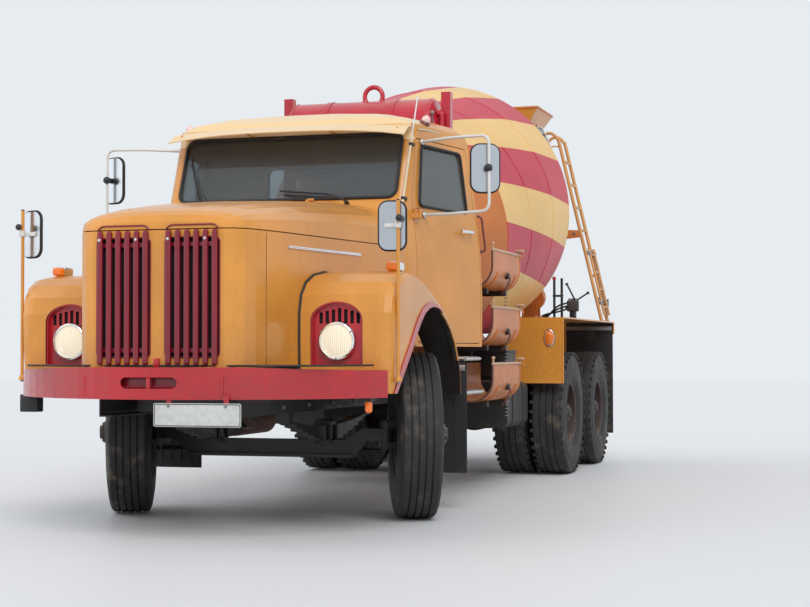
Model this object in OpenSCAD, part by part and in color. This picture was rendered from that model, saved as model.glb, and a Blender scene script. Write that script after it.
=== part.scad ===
// Bonneted three-axle concrete mixer truck, parked with its front wheels turned to its left.
// Millimetres. +X is the truck's left side, -Y its front, +Z up, and the ground is z = 0.
// Values named ..._y are measured back from the front axle, values named ..._z up from the ground.

/* [Chassis] */
// Front axle to first rear axle
wheelbase = 4200; // [3800:50:5000]
// First to second rear axle
bogie_spacing = 1350; // [1250:10:1450]
// Front axle to the middle of the bumper's face
front_overhang = 1870; // [1800:10:2000]
// Second rear axle to the end of the discharge chute
rear_overhang = 1150; // [1000:10:1500]
// Height of the frame rails' top
rail_top_z = 960; // [900:5:1000]
// Depth of a frame rail
rail_h = 260; // [200:5:280]
// Outside width over both frame rails
rail_span = 860; // [800:10:900]
// Plate of the frame rails
rail_t = 8; // [6:1:12]

/* [Wheels] */
// Radius of a tyre
tyre_r = 535; // [500:5:560]
// Width of a tyre
tyre_w = 285; // [260:5:300]
// Radius of the bead seat
rim_r = 258; // [250:1:260]
// Centre to centre of the front wheels
front_track = 1960; // [1900:10:2000]
// Outside width over the rear twin wheels
rear_outer_w = 2440; // [2400:10:2480]
// Centre to centre of two twin wheels
twin_spacing = 330; // [325:1:340]
// Kingpin to kingpin
kingpin_span = 1600; // [1560:10:1700]
// How far the front wheels are turned to the left
steer_angle = 22; // [0:1:30]

/* [Cab and bonnet] */
// Half of the windscreen's width
screen_half_w = 783; // [700:1:800]
// Bottom of the windscreen
screen_low_z = 2098; // [2080:1:2120]
// Top of the windscreen
screen_top_z = 2545; // [2500:1:2560]
// Wall of the cab and doors
cab_wall = 30; // [20:1:40]
// Sheet of the bonnet, wings and mudguards
sheet_t = 10; // [8:1:14]
// Joint line between the bonnet lid and the panels below
lid_z = 1760; // [1740:1:1780]
// Gap round the doors and the lid
panel_gap = 6; // [5:1:8]
// Front edge of the door
door_front_y = 340; // [320:1:380]
// Rear edge of the door
door_rear_y = 1200; // [1150:5:1230]
// Rear wall of the cab
cab_rear_y = 1300; // [1290:5:1400]

/* [Mixer] */
// Front seam of the drum to the first rear axle
drum_lead = 1590; // [1500:5:1620]
// Height of the drum's axis at that seam
drum_z = 2010; // [2000:5:2060]
// Tilt of the drum's axis
drum_tilt = 10.7; // [9:0.1:12]
// Radius at the front seam
drum_seam_r = 1000; // [960:5:1010]
// Largest radius of the drum
drum_r = 1140; // [1100:5:1150]
// Radius of the mouth
mouth_r = 600; // [560:5:620]
// Plate of the drum
drum_wall = 12; // [8:1:16]
// Width of a chute
chute_w = 320; // [280:5:330]
// Depth of a chute
chute_depth = 270; // [240:5:280]
// Length of a spare chute
spare_chute_l = 890; // [800:10:900]

/* [Hidden] */

YELLOW = [0.93, 0.62, 0.15];
RED = [0.78, 0.08, 0.07];
BLACK = [0.09, 0.09, 0.09];
TYRE = [0.13, 0.13, 0.14];
STEEL = [0.6, 0.6, 0.6];
ORANGE = [0.80, 0.42, 0.16];
CREAM = [0.93, 0.80, 0.55];
GLASS = [0.4, 0.5, 0.55, 0.5];
CRIMSON = [0.78, 0.07, 0.22];

tail_overhang = wheelbase + bogie_spacing + rear_overhang;
// The truck's middle, halfway between its two ends, is the origin
front_axle_y = (front_overhang - tail_overhang) / 2;
rear_axle_ys = [wheelbase, wheelbase + bogie_spacing];
rail_bottom_z = rail_top_z - rail_h;
rail_x = rail_span / 2;
kingpin_x = kingpin_span / 2;
rear_outer_x = rear_outer_w / 2 - tyre_w / 2;
run_gap = 0.05;
seat_gap = 0.3;

// Half width and crown height of the bonnet along the truck: y, half width, crown z
BONNET = [
    [-1740, 400, 1800], [-1725, 452, 1840], [-1680, 500, 1868], [-1600, 532, 1890],
    [-1500, 556, 1910], [-1290, 600, 1942], [-1000, 650, 1978], [-700, 700, 2006],
    [-420, 748, 2030], [-200, 790, 2045], [-60, 816, 2054], [100, 848, 2064], [300, 885, 2078]];
function bonnet_w(y) = lookup(y, [for (b = BONNET) [b[0], b[1]]]);
function bonnet_top(y) = lookup(y, [for (b = BONNET) [b[0], b[2]]]);
bonnet_end_y = -60;
nose_seam_y = -1500;
nose_bottom_z = 985;

function unit(v) = v / max(norm(v), 1e-9);
function lerp(a, b, t) = a + (b - a) * t;
function arc(c, r, from, to, n) =
    [for (i = [0:n]) let (a = lerp(from, to, i / n)) [c[0] + r * cos(a), c[1] + r * sin(a)]];

// A solid through equal loops that turn anticlockwise about the way they advance
module loft(rings) {
    m = len(rings[0]);
    last = len(rings) - 1;
    sides = [for (i = [0:last - 1], j = [0:m - 1])
        let (a = i * m + j, b = i * m + (j + 1) % m, c = b + m, d = a + m)
        each [[a, d, c], [a, c, b]]];
    polyhedron([for (r = rings) each r],
        concat(sides, [[for (j = [0:m - 1]) j]], [[for (j = [m - 1:-1:0]) last * m + j]]), 4);
}

// Points of a grid moved inwards by t, along the normals that its neighbours give
function inner_grid(g, t) = let (n = len(g) - 1, m = len(g[0]) - 1)
    [for (i = [0:n]) [for (j = [0:m])
        let (di = g[min(i + 1, n)][j] - g[max(i - 1, 0)][j],
            dj = g[i][min(j + 1, m)] - g[i][max(j - 1, 0)])
        g[i][j] - t * unit(cross(dj, di))]];

// A closed sheet of thickness t under a grid of points, rows by columns
module sheet(g, t, low = -1e6) {
    m = len(g[0]);
    n = len(g);
    s = n * m;
    quads = [for (i = [0:n - 2], j = [0:m - 2]) let (a = i * m + j, b = a + 1, c = b + m, d = a + m)
        each [[a, d, c], [a, c, b], [s + a, s + c, s + d], [s + a, s + b, s + c]]];
    ends = [for (i = [0:n - 2]) let (a = i * m, d = a + m, b = a + m - 1, c = b + m)
        each [[d, a, s + a], [d, s + a, s + d], [b, c, s + c], [b, s + c, s + b]]];
    rims = [for (j = [0:m - 2]) let (a = j, b = j + 1, d = (n - 1) * m + j, c = d + 1)
        each [[a, b, s + b], [a, s + b, s + a], [c, d, s + d], [c, s + d, s + c]]];
    polyhedron(concat([for (r = g) each r], [for (r = inner_grid(g, t), p = r) [p[0], p[1], max(p[2], low)]]),
        concat(quads, ends, rims), 4);
}

module both_sides() {
    children();
    mirror([1, 0, 0]) children();
}
module from_front_axle() translate([0, front_axle_y, 0]) children();
// An outline drawn as [y, z] and given a width across the truck
module across(x0, x1) translate([x0, 0, 0]) rotate([90, 0, 90]) linear_extrude(x1 - x0) children();
// An outline drawn as [x, z] and given a length along the truck
module along(y0, y1) translate([0, y1, 0]) rotate([90, 0, 0]) linear_extrude(y1 - y0) children();
module block(x0, x1, y0, y1, z0, z1) translate([x0, y0, z0]) cube([x1 - x0, y1 - y0, z1 - z0]);
module bar(a, b, r, sides = 24) {
    v = b - a;
    translate(a) rotate([0, acos(v[2] / norm(v)), atan2(v[1], v[0])]) cylinder(h = norm(v), r = r, $fn = sides);
}
module axle_pipe(x0, x1, y, z, r) translate([x0, y, z]) rotate([0, 90, 0]) cylinder(h = x1 - x0, r = r, $fn = 48);

// Frame

module channel(w, h, t) polygon([[0, 0], [w, 0], [w, t], [t, t], [t, h - t], [w, h - t], [w, h], [0, h]]);
frame_front_y = -1600;
frame_end_y = wheelbase + bogie_spacing + 600;
cross_ys = [-1380, 620, 1700, 2900, wheelbase - 560, wheelbase + bogie_spacing / 2, frame_end_y - 350];
tow_hole_r = 10.5;
tow_spacing = [160, 100];
tow_z = rail_top_z - rail_h / 2;
mount_ys = [190, 1200];
cross_low_z = rail_top_z - 100;
module chassis_frame() color(BLACK) from_front_axle() {
    half = rail_x - rail_t;
    both_sides() translate([rail_x, 0, rail_bottom_z])
        along(frame_front_y, frame_end_y) mirror([1, 0]) channel(80, rail_h, rail_t);
    for (y = cross_ys) block(-half, half, y - 50, y + 50, cross_low_z, rail_top_z - 40);
    block(-40, 40, bearing_y - 30, bearing_y + 30, bearing_z + bearing_r + seat_gap, cross_low_z + 1);
    difference() {
        block(-half, half, frame_end_y - 30, frame_end_y - 10, rail_bottom_z + rail_t, rail_top_z - rail_t);
        for (x = [-1, 1], z = [-1, 1])
            translate([x * tow_spacing[0] / 2, frame_end_y, tow_z + z * tow_spacing[1] / 2])
                rotate([90, 0, 0]) cylinder(h = 50, r = tow_hole_r, $fn = 32);
    }
    // Mounts under the cab
    both_sides() for (y = mount_ys) block(rail_x - 75, rail_x - 5, y - 45, y + 45, rail_top_z, CAB[0][0] - seat_gap);
}

// Bumper, bowed forward in plan, with a slotted air inlet in the middle

bumper_end_x = 1168;
bumper_end_y = -1162;
bumper_low_z = 808;
bumper_bow = front_overhang + bumper_end_y;
bumper_r = (bumper_end_x * bumper_end_x + bumper_bow * bumper_bow) / (2 * bumper_bow);
bumper_half_angle = asin(bumper_end_x / bumper_r);
bumper_slot_w = 340;
bumper_slot_h = 62;
module bumper_plan(inset, t) {
    c = [0, bumper_r - front_overhang];
    outer = arc(c, bumper_r - inset, -90 - bumper_half_angle, -90 + bumper_half_angle, 24);
    inner = arc(c, bumper_r - inset - t, -90 + bumper_half_angle, -90 - bumper_half_angle, 24);
    polygon(concat(outer, inner));
}
module front_bumper() color(RED) from_front_axle() {
    intersection() {
        difference() {
            union() {
                translate([0, 0, bumper_low_z]) linear_extrude(200) bumper_plan(0, 8);
                for (z = [bumper_low_z, bumper_low_z + 150]) translate([0, 0, z]) linear_extrude(8) bumper_plan(4, 110);
            }
            along(-front_overhang - 5, -front_overhang + 60) hull() for (x = [-1, 1])
                translate([x * (bumper_slot_w - bumper_slot_h) / 2, bumper_low_z + 92]) circle(d = bumper_slot_h, $fn = 32);
        }
        along(-2000, bumper_end_y) polygon([[-1300, 800], [1300, 800], [1300, bumper_low_z + 152],
            [500, bumper_low_z + 178], [-500, bumper_low_z + 178], [-1300, bumper_low_z + 152]]);
    }
    both_sides() block(rail_x - 75, rail_x - 5, -1806, frame_front_y - seat_gap, 825, 935);
}
// Drive line

module engine() color(BLACK) from_front_axle() {
    block(-320, 320, -1330, -230, 720, 1560);
    block(-210, 210, -230, 480, 745, 1060);
    for (y = [-1050, -420]) block(-rail_x + 80.3, rail_x - 80.3, y - 40, y + 40, rail_top_z - 30, rail_top_z);
}
module radiator() color(BLACK) from_front_axle() {
    block(-370, 370, -1600, -1510, 1010, 1700);
    both_sides() block(rail_x - 78, rail_x - 58, -1590, -1520, rail_top_z + seat_gap, 1010);
    translate([0, -1511, 1352]) rotate([-90, 0, 0]) difference() {
        cylinder(h = 61, r = 325, $fn = 64);
        translate([0, 0, 2]) cylinder(h = 62, r = 313, $fn = 64);
    }
}
bearing_y = 2900;
bearing_r = 75;
bearing_z = rail_top_z - 265;
shaft_end = 1;
module prop_shafts() color(BLACK) from_front_axle() {
    pinion_z = tyre_r + 55;
    bar([0, 483, 800], [0, bearing_y - 35, bearing_z], 50);
    translate([0, bearing_y - 40, bearing_z]) rotate([-90, 0, 0]) cylinder(h = 80, r = bearing_r, $fn = 48);
    slope = abs(pinion_z - bearing_z) / (wheelbase - bearing_y - 300);
    bar([0, bearing_y + 35, bearing_z], [0, wheelbase - 270 - seat_gap - 50 * slope, pinion_z], 50);
    bar([0, wheelbase + 120 + shaft_end / 2, pinion_z], [0, wheelbase + bogie_spacing - 270 - shaft_end / 2, pinion_z], 45);
}

// Front axle with its springs, knuckles and tie rod

pin_r = 25;
eye_h = 90;
beam_h = 80;
beam_drop = 110;
beam_top_z = tyre_r - 35;
pin_low_z = tyre_r - 135;
module front_beam() {
    difference() {
        union() {
            translate([0, 0, tyre_r - beam_h / 2]) along(-45, 45) polygon([[-kingpin_x, 0], [-kingpin_x + 120, 0],
                [-kingpin_x + 230, -beam_drop], [kingpin_x - 230, -beam_drop], [kingpin_x - 120, 0], [kingpin_x, 0],
                [kingpin_x, beam_h], [kingpin_x - 150, beam_h], [kingpin_x - 270, 5], [-kingpin_x + 270, 5],
                [-kingpin_x + 150, beam_h], [-kingpin_x, beam_h]]);
            both_sides() translate([kingpin_x, 0, tyre_r - eye_h / 2]) cylinder(h = eye_h, r = 48, $fn = 48);
        }
        both_sides() translate([kingpin_x, 0, pin_low_z]) cylinder(h = 250, r = pin_r, $fn = 48);
        both_sides() for (s = [-1, 1]) block(-kingpin_x, kingpin_x - 300, min(s * 12, s * 60), max(s * 12, s * 60),
            beam_top_z - 95, beam_top_z - 20);
    }
    both_sides() translate([kingpin_x, 0, tyre_r - 95]) cylinder(h = 190, r = pin_r - 0.001, $fn = 48);
}

spring_x = 385;
// Leaf: half length and its distance below the top leaf
module leaf_pack(half_l, top_z, camber, leaves, leaf_t, step) {
    for (i = [0:leaves - 1]) {
        l = half_l - i * step;
        drop = camber * pow(l / half_l, 2);
        z = top_z - i * leaf_t;
        polygon(concat(
            [for (k = [-6:6]) [l * k / 6, z - leaf_t + camber * pow(l * k / 6 / half_l, 2)]],
            [for (k = [6:-1:-6]) [l * k / 6, z + 0.01 + camber * pow(l * k / 6 / half_l, 2)]]));
    }
}
module front_axle() color(BLACK) from_front_axle() {
    spring_z = beam_top_z + 96;
    spring_rise = (rail_bottom_z - spring_z) * 0.53;
    front_beam();
    both_sides() {
        across(spring_x - 40, spring_x + 40) leaf_pack(760, spring_z, spring_rise, 6, 16, 105);
        for (y = [-760, 760]) block(spring_x - 44, spring_x + 44, y - 40, y + 40,
            spring_z + spring_rise - 16, rail_bottom_z - seat_gap);
        block(spring_x - 50, spring_x + 50, -70, 70, spring_z - 1, spring_z + 24);
    }
}

arm_l = 175;
arm_z = tyre_r - 95;
rod_pin_r = 12;
module steered(side) translate([side * kingpin_x, 0, 0]) rotate([0, 0, steer_angle])
    translate([-side * kingpin_x, 0, 0]) children();
module knuckle(side) color(BLACK) from_front_axle() steered(side) difference() {
    union() {
        for (z = [tyre_r - 90, tyre_r + 46]) hull() {
            translate([side * kingpin_x, 0, z]) cylinder(h = 44, r = 45, $fn = 32);
            translate([side * (front_hub_x - 70), 0, z]) cylinder(h = 44, r = 40, $fn = 32);
        }
        translate([side * (front_hub_x - 62), 0, tyre_r]) rotate([0, side * 90, 0]) cylinder(h = 40, r = 95, $fn = 48);
        translate([side * (front_hub_x - 40), 0, tyre_r]) rotate([0, side * 90, 0]) cylinder(h = 150, r = 40, $fn = 48);
        hull() {
            translate([side * kingpin_x, 20, arm_z + 5]) cylinder(h = 24, r = 34, $fn = 32);
            translate([side * kingpin_x, arm_l, arm_z + 5]) cylinder(h = 24, r = 26, $fn = 32);
        }
        translate([side * kingpin_x, arm_l, arm_z - 40]) cylinder(h = 60, r = rod_pin_r, $fn = 32);
    }
    translate([side * kingpin_x, 0, pin_low_z]) cylinder(h = 300, r = pin_r + run_gap, $fn = 48);
}
module knuckle_left() knuckle(1);
module knuckle_right() knuckle(-1);
function steered_point(side, x, y) = [side * kingpin_x + x * cos(steer_angle) - y * sin(steer_angle),
    x * sin(steer_angle) + y * cos(steer_angle)];
module tie_rod() color(BLACK) from_front_axle() {
    left = steered_point(1, 0, arm_l);
    right = steered_point(-1, 0, arm_l);
    difference() {
        union() {
            bar([right[0] + 20, right[1], arm_z - 20], [left[0] - 20, left[1], arm_z - 20], 20, 32);
            for (p = [left, right]) translate([p[0], p[1], arm_z - 38]) cylinder(h = 38, r = 28, $fn = 32);
        }
        translate([left[0], left[1], arm_z - 60]) cylinder(h = 80, r = rod_pin_r + run_gap, $fn = 32);
        translate([right[0], right[1], arm_z - 60]) cylinder(h = 80, r = rod_pin_r + 2, $fn = 32);
    }
}

// Rear bogie

diff_r = 230;
spring_mid_y = wheelbase + bogie_spacing / 2;
pad_z = tyre_r + 105;
leaf_t = 15;
module rear_bogie() color(BLACK) from_front_axle() {
    for (y = rear_axle_ys) {
        axle_pipe(-620, 620, y, tyre_r, 80);
        translate([0, y, tyre_r]) rotate([90, 0, 0]) cylinder(h = 240, r = diff_r, center = true, $fn = 64);
        translate([0, y - 270, tyre_r + 40]) rotate([-90, 0, 0]) cylinder(h = 170, r = 110, $fn = 48);
        both_sides() axle_pipe(600, rear_outer_x + 10, y, tyre_r, 45);
        both_sides() block(452, 538, y - 50, y + 50, tyre_r, pad_z);
    }
    both_sides() {
        translate([0, spring_mid_y, 0]) across(455, 535)
            leaf_pack(bogie_spacing / 2 + 20, pad_z + leaf_t + seat_gap - 40, 40, 7, leaf_t, 80);
        block(445, 545, spring_mid_y - 70, spring_mid_y + 70, pad_z - 26, pad_z + 10);
        block(rail_x - 70, rail_x - 8, spring_mid_y - 60, spring_mid_y + 60, tyre_r - 115, rail_bottom_z - seat_gap);
    }
    axle_pipe(-550, 550, spring_mid_y, pad_z - 175, 50);
}

// Wheels

function tyre_section(r, w) = concat(
    [[rim_r + 1, -w / 2 + 36], [rim_r + 15, -w / 2 + 34], [rim_r + 17, -w / 2 + 18], [r * 0.62, -w / 2 + 3], [r * 0.76, -w / 2]],
    arc([r - 34, -w / 2 + 42], 34, -115, 0, 5), arc([r - 34, w / 2 - 42], 34, 0, 115, 5),
    [[r * 0.76, w / 2], [r * 0.62, w / 2 - 3], [rim_r + 17, w / 2 - 18], [rim_r + 15, w / 2 - 34], [rim_r + 1, w / 2 - 36],
    [rim_r + 1, w / 2 - 50], [rim_r + 34, w / 2 - 50], [r * 0.72, w / 2 - 16], [r - 45, w / 2 - 40], [r - 38, 0],
    [r - 45, -w / 2 + 40], [r * 0.72, -w / 2 + 16], [rim_r + 34, -w / 2 + 50], [rim_r + 1, -w / 2 + 50]]);
module tyre() rotate([0, 90, 0]) rotate_extrude($fn = 96) polygon(tyre_section(tyre_r, tyre_w));
rim_half_w = tyre_w / 2 - 30;
// The dish stands towards +X of the rim's middle
module rim(dish) rotate([0, 90, 0]) difference() {
    rotate_extrude($fn = 96) polygon([
        [rim_r, -rim_half_w], [rim_r + 14, -rim_half_w - 4], [rim_r + 14, -rim_half_w + 3], [rim_r + 0.7, -rim_half_w + 5],
        [rim_r + 0.7, rim_half_w - 5], [rim_r + 14, rim_half_w - 3], [rim_r + 14, rim_half_w + 4], [rim_r, rim_half_w],
        [rim_r - 14, rim_half_w - 14], [rim_r - 16, dish + 12], [170, dish + 30], [167, dish + 10],
        [rim_r - 26, dish - 10], [rim_r - 16, dish - 14], [rim_r - 14, -rim_half_w + 8]]);
    for (a = [0:36:359]) rotate([0, 0, a]) translate([205, 0, dish - 60]) cylinder(h = 140, r = 19, $fn = 24);
}
stud_circle_r = 167.5;
module hub(x0, x1, bore, flange_x) rotate([0, 90, 0]) difference() {
    union() {
        translate([0, 0, x0]) cylinder(h = x1 - x0, r = 85, $fn = 48);
        translate([0, 0, flange_x]) cylinder(h = 22, r = 172, $fn = 64);
        translate([0, 0, x1 - 1]) cylinder(h = 26, r1 = 85, r2 = 70, $fn = 48);
    }
    translate([0, 0, x0 - 1]) cylinder(h = x1 - x0 + 1 - 4, r = bore + run_gap, $fn = 48);
}
module brake_drum(x0, x1) rotate([0, 90, 0]) translate([0, 0, x0]) difference() {
    cylinder(h = x1 - x0, r = 205, $fn = 64);
    translate([0, 0, -1]) cylinder(h = x1 - x0 - 11, r = 190, $fn = 64);
    translate([0, 0, -1]) cylinder(h = x1 - x0 + 2, r = 86, $fn = 48);
}
front_hub_x = front_track / 2;
module front_wheel_frame(side) from_front_axle() steered(side) translate([side * front_hub_x, 0, tyre_r])
    rotate([0, 0, side > 0 ? 0 : 180]) children();
module rear_wheel_frame(side, y) from_front_axle() translate([side * rear_outer_x, y, tyre_r])
    rotate([0, 0, side > 0 ? 0 : 180]) children();
module front_tyre(side) color(TYRE) front_wheel_frame(side) tyre();
module front_rim(side) color(ORANGE) front_wheel_frame(side) {
    rim(40);
    hub(-15, 160, 40, 47);
    brake_drum(-60, 46);
}
module rear_tyres(side, y) color(TYRE) rear_wheel_frame(side, y) {
    tyre();
    translate([-twin_spacing, 0, 0]) tyre();
}
twin_dish = rim_half_w - 30;
module rear_rims(side, y) color(ORANGE) rear_wheel_frame(side, y) {
    rotate([0, 0, 180]) rim(twin_dish);
    translate([-twin_spacing, 0, 0]) rim(twin_dish);
    hub(-twin_spacing + 20, 60, 45, -twin_dish - 34);
    // Ring between the two discs
    rotate([0, 90, 0]) translate([0, 0, -twin_spacing + twin_dish + 10]) difference() {
        cylinder(h = twin_spacing - 2 * twin_dish - 20, r = 172, $fn = 64);
        translate([0, 0, -1]) cylinder(h = twin_spacing, r = 80, $fn = 48);
    }
    brake_drum(-twin_spacing - 50, -twin_spacing + twin_dish + 12);
}
module front_tyre_left() front_tyre(1);
module front_rim_left() front_rim(1);
module front_tyre_right() front_tyre(-1);
module front_rim_right() front_rim(-1);
module first_rear_tyres_left() rear_tyres(1, rear_axle_ys[0]);
module first_rear_rims_left() rear_rims(1, rear_axle_ys[0]);
module first_rear_tyres_right() rear_tyres(-1, rear_axle_ys[0]);
module first_rear_rims_right() rear_rims(-1, rear_axle_ys[0]);
module second_rear_tyres_left() rear_tyres(1, rear_axle_ys[1]);
module second_rear_rims_left() rear_rims(1, rear_axle_ys[1]);
module second_rear_tyres_right() rear_tyres(-1, rear_axle_ys[1]);
module second_rear_rims_right() rear_rims(-1, rear_axle_ys[1]);

// Bonnet: nose, grille, sides and lid share one outline

function bonnet_rows(y0, y1) = concat([y0], [for (b = BONNET) if (b[0] > y0 + 1 && b[0] < y1 - 1) b[0]], [y1]);
function side_line(y0, y1, inset) = [for (y = bonnet_rows(y0, y1)) [bonnet_w(y) - inset, y]];
function wrap_line(y1, inset) = let (half = side_line(BONNET[0][0], y1, inset),
    front = BONNET[0][0] + inset)
    concat([for (i = [len(half) - 1:-1:0]) [-half[i][0], max(half[i][1], front)]],
        [for (p = half) [p[0], max(p[1], front)]]);
grille_z0 = 1040;
grille_z1 = 1712;
// Left and right edge of each grille opening
GRILLE = [[-375, -45], [45, 375]];
seam_t = 0.6;
module nose_shell() difference() {
    translate([0, 0, nose_bottom_z]) linear_extrude(lid_z - nose_bottom_z - panel_gap) {
        outer = wrap_line(nose_seam_y, 0);
        inner = wrap_line(nose_seam_y, sheet_t);
        polygon(concat(outer, [for (i = [len(inner) - 1:-1:0]) inner[i]]));
    }
    for (g = GRILLE) along(-1800, -1690) translate([g[0], grille_z0])
        offset(r = 28, $fn = 24) offset(delta = -28) square([g[1] - g[0], grille_z1 - grille_z0]);
}
bar_count = 6;
module grille_bars() color(RED) from_front_axle() {
    y = BONNET[0][0] - 12.3;
    for (g = GRILLE) {
        pitch = (g[1] - g[0] - 50) / (bar_count - 1);
        for (i = [0:bar_count - 1]) {
            x = g[0] + 25 + i * pitch;
            translate([x, y, grille_z0 - 30]) cylinder(h = grille_z1 - grille_z0 + 60, r = 12, $fn = 24);
            for (z = [grille_z0 - 30, grille_z1 + 30]) translate([x, y, z]) sphere(r = 12, $fn = 24);
        }
        for (z = [grille_z0 + 40, grille_z1 - 40]) block(g[0] + 13, g[1] - 13, y + 11, y + 17, z - 12, z + 12);
    }
}
module bonnet_sides() both_sides() intersection() {
    translate([0, 0, 900]) linear_extrude(lid_z - 900 - panel_gap) {
        outer = side_line(nose_seam_y + seam_t, bonnet_end_y, 0);
        inner = side_line(nose_seam_y + seam_t, bonnet_end_y, sheet_t);
        polygon(concat(outer, [for (i = [len(inner) - 1:-1:0]) inner[i]]));
    }
    across(400, 1000) polygon([[nose_seam_y, nose_bottom_z], [-1150, nose_bottom_z], [-1050, 1200], [-700, 1330],
        [-100, 1240], [0, 1240], [0, 1800], [nose_seam_y, 1800]]);
}
module nose_and_sides() color(YELLOW) from_front_axle() {
    nose_shell();
    bonnet_sides();
}
// Superellipse across the bonnet, from the left edge over the crown to the right edge
function crown_row(y, base, w, top, inset) = [for (a = [0:15:180])
    let (c = cos(a), s = sin(a), k = 2 / 2.9)
    [-sign(c) * (w - inset) * pow(abs(c), k), y, base + (top - inset - base) * pow(abs(s), k)]];
lid_base_z = lid_z;
hinge_y = bonnet_end_y + 4;
hinge_z = bonnet_top(bonnet_end_y) + 8;
hinge_pin_r = 5;
hinge_barrel_r = 9;
hinge_x = 300;
module bonnet_lid() color(YELLOW) from_front_axle() {
    ys = bonnet_rows(BONNET[0][0], bonnet_end_y - panel_gap);
    front = [crown_row(BONNET[0][0] - 2, lid_base_z, bonnet_w(BONNET[0][0]) - 4, lid_base_z + 0.5, 0)];
    sheet(concat(front, [for (y = ys) crown_row(y, lid_base_z, bonnet_w(y), bonnet_top(y), 0)]), sheet_t, lid_base_z);
    both_sides() {
        axle_pipe(hinge_x - 20, hinge_x + 20, hinge_y, hinge_z, hinge_pin_r);
        difference() {
            axle_pipe(hinge_x - 20, hinge_x - 1, hinge_y, hinge_z, hinge_barrel_r);
            axle_pipe(hinge_x - 21, hinge_x, hinge_y, hinge_z, hinge_pin_r - 1);
        }
        block(hinge_x - 20, hinge_x - 1, hinge_y - 45, bonnet_end_y - panel_gap, hinge_z - 16, hinge_z - 1);
        block(hinge_x - 20, hinge_x - 1, bonnet_end_y - panel_gap, hinge_y, hinge_z - 8, hinge_z - 1);
    }
}
// Front wings: crown point [y, z], matching point of the wheel arch's lip [y, z], outer x
WING = [
    [[-1150, 830], [-1052, 830], 1185], [[-1158, 1150], [-925, 962], 1195], [[-1156, 1300], [-800, 1078], 1200],
    [[-1135, 1400], [-700, 1178], 1203], [[-1080, 1475], [-620, 1250], 1205], [[-990, 1522], [-530, 1306], 1205],
    [[-860, 1545], [-430, 1340], 1205], [[-720, 1535], [-330, 1352], 1205], [[-560, 1500], [-230, 1345], 1205],
    [[-385, 1448], [-110, 1318], 1203], [[-200, 1390], [10, 1275], 1200], [[0, 1318], [150, 1215], 1192],
    [[200, 1222], [300, 1130], 1180], [[400, 1080], [440, 1010], 1165], [[515, 930], [520, 900], 1155],
    [[566, 790], [551, 790], 1150]];
wing_edge_r = 58;
lip_w = 32;
function wing_row(w) = let (c = w[0], l = w[1], v = l - c, d = unit(v), r = min(wing_edge_r, norm(v) * 0.6),
    x0 = c[0] > 100 ? 945 : bonnet_w(c[0]) + 2.2, x1 = w[2],
    place = function (x, p) [x, p[0], p[1]])
    [place(x0, c), place((x0 + x1) / 2, c - 10 * d), place(x1 - r * 1.6, c - 5 * d), place(x1 - r, c),
    place(x1 - r * 0.3, c + r * 0.3 * d), place(x1, c + r * d), place(x1 + 1, lerp(c + r * d, l, 0.5)), place(x1, l),
    place(x1 - lip_w, l)];
lamp_x = 857;
lamp_z = 1135;
panel_half_w = 160;
panel_low_z = 990;
panel_top_z = 1362;
module lamp_panel_outline(grow) offset(r = grow) union() {
    translate([lamp_x, panel_top_z - 110]) intersection() {
        scale([1, 0.69]) circle(r = panel_half_w, $fn = 48);
        translate([-200, 0]) square([400, 200]);
    }
    translate([lamp_x - panel_half_w, panel_low_z]) square([2 * panel_half_w, panel_top_z - 109 - panel_low_z]);
}
module front_wings() color(YELLOW) from_front_axle() both_sides() difference() {
    sheet([for (w = WING) wing_row(w)], sheet_t);
    along(-1250, -1100) lamp_panel_outline(0);
}
module headlight_panels() color(RED) from_front_axle() both_sides() difference() {
    union() {
        along(-1152, -1112) difference() {
            lamp_panel_outline(-1);
            lamp_panel_outline(-9);
        }
        along(-1120, -1112) lamp_panel_outline(-2);
    }
    translate([lamp_x, -1200, lamp_z]) rotate([-90, 0, 0]) cylinder(h = 200, r = 96, $fn = 64);
    for (i = [-3:3]) along(-1200, -1100) translate([lamp_x + i * 38, 1240])
        offset(r = 5, $fn = 16) square([12, 80 - abs(i) * 8], center = false);
}
module headlights() color(STEEL) from_front_axle() both_sides() translate([lamp_x, -1162, lamp_z]) rotate([-90, 0, 0]) {
    rotate_extrude($fn = 64) polygon([[88, 0], [95.5, 8], [95.5, 36], [104, 36], [104, 41.7], [95.5, 41.7], [92, 62],
        [55, 130], [0, 150], [0, 144], [50, 124], [84, 60], [88, 30]]);
    translate([0, 0, 8]) rotate_extrude($fn = 64) polygon([[0, -8], [45, -5], [75, 1], [87.6, 8], [87.6, 12], [75, 7], [45, 1], [0, -2]]);
}
// Mirrors on poles at the outer ends of the wings

pole_x = 1212.5;
pole_y = -1100;
module mirror_head(w, h, t) hull() for (x = [-1, 1], z = [-1, 1])
    translate([x * (w / 2 - 45), 0, z * (h / 2 - 45)]) rotate([90, 0, 0]) cylinder(h = t, r = 45, center = true, $fn = 32);
module wing_mirrors() color(STEEL) from_front_axle() both_sides() {
    translate([pole_x, pole_y, 900]) cylinder(h = 1050, r = 11, $fn = 24);
    translate([pole_x - 38, pole_y - 12, 1800]) mirror_head(165, 290, 22);
}

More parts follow.
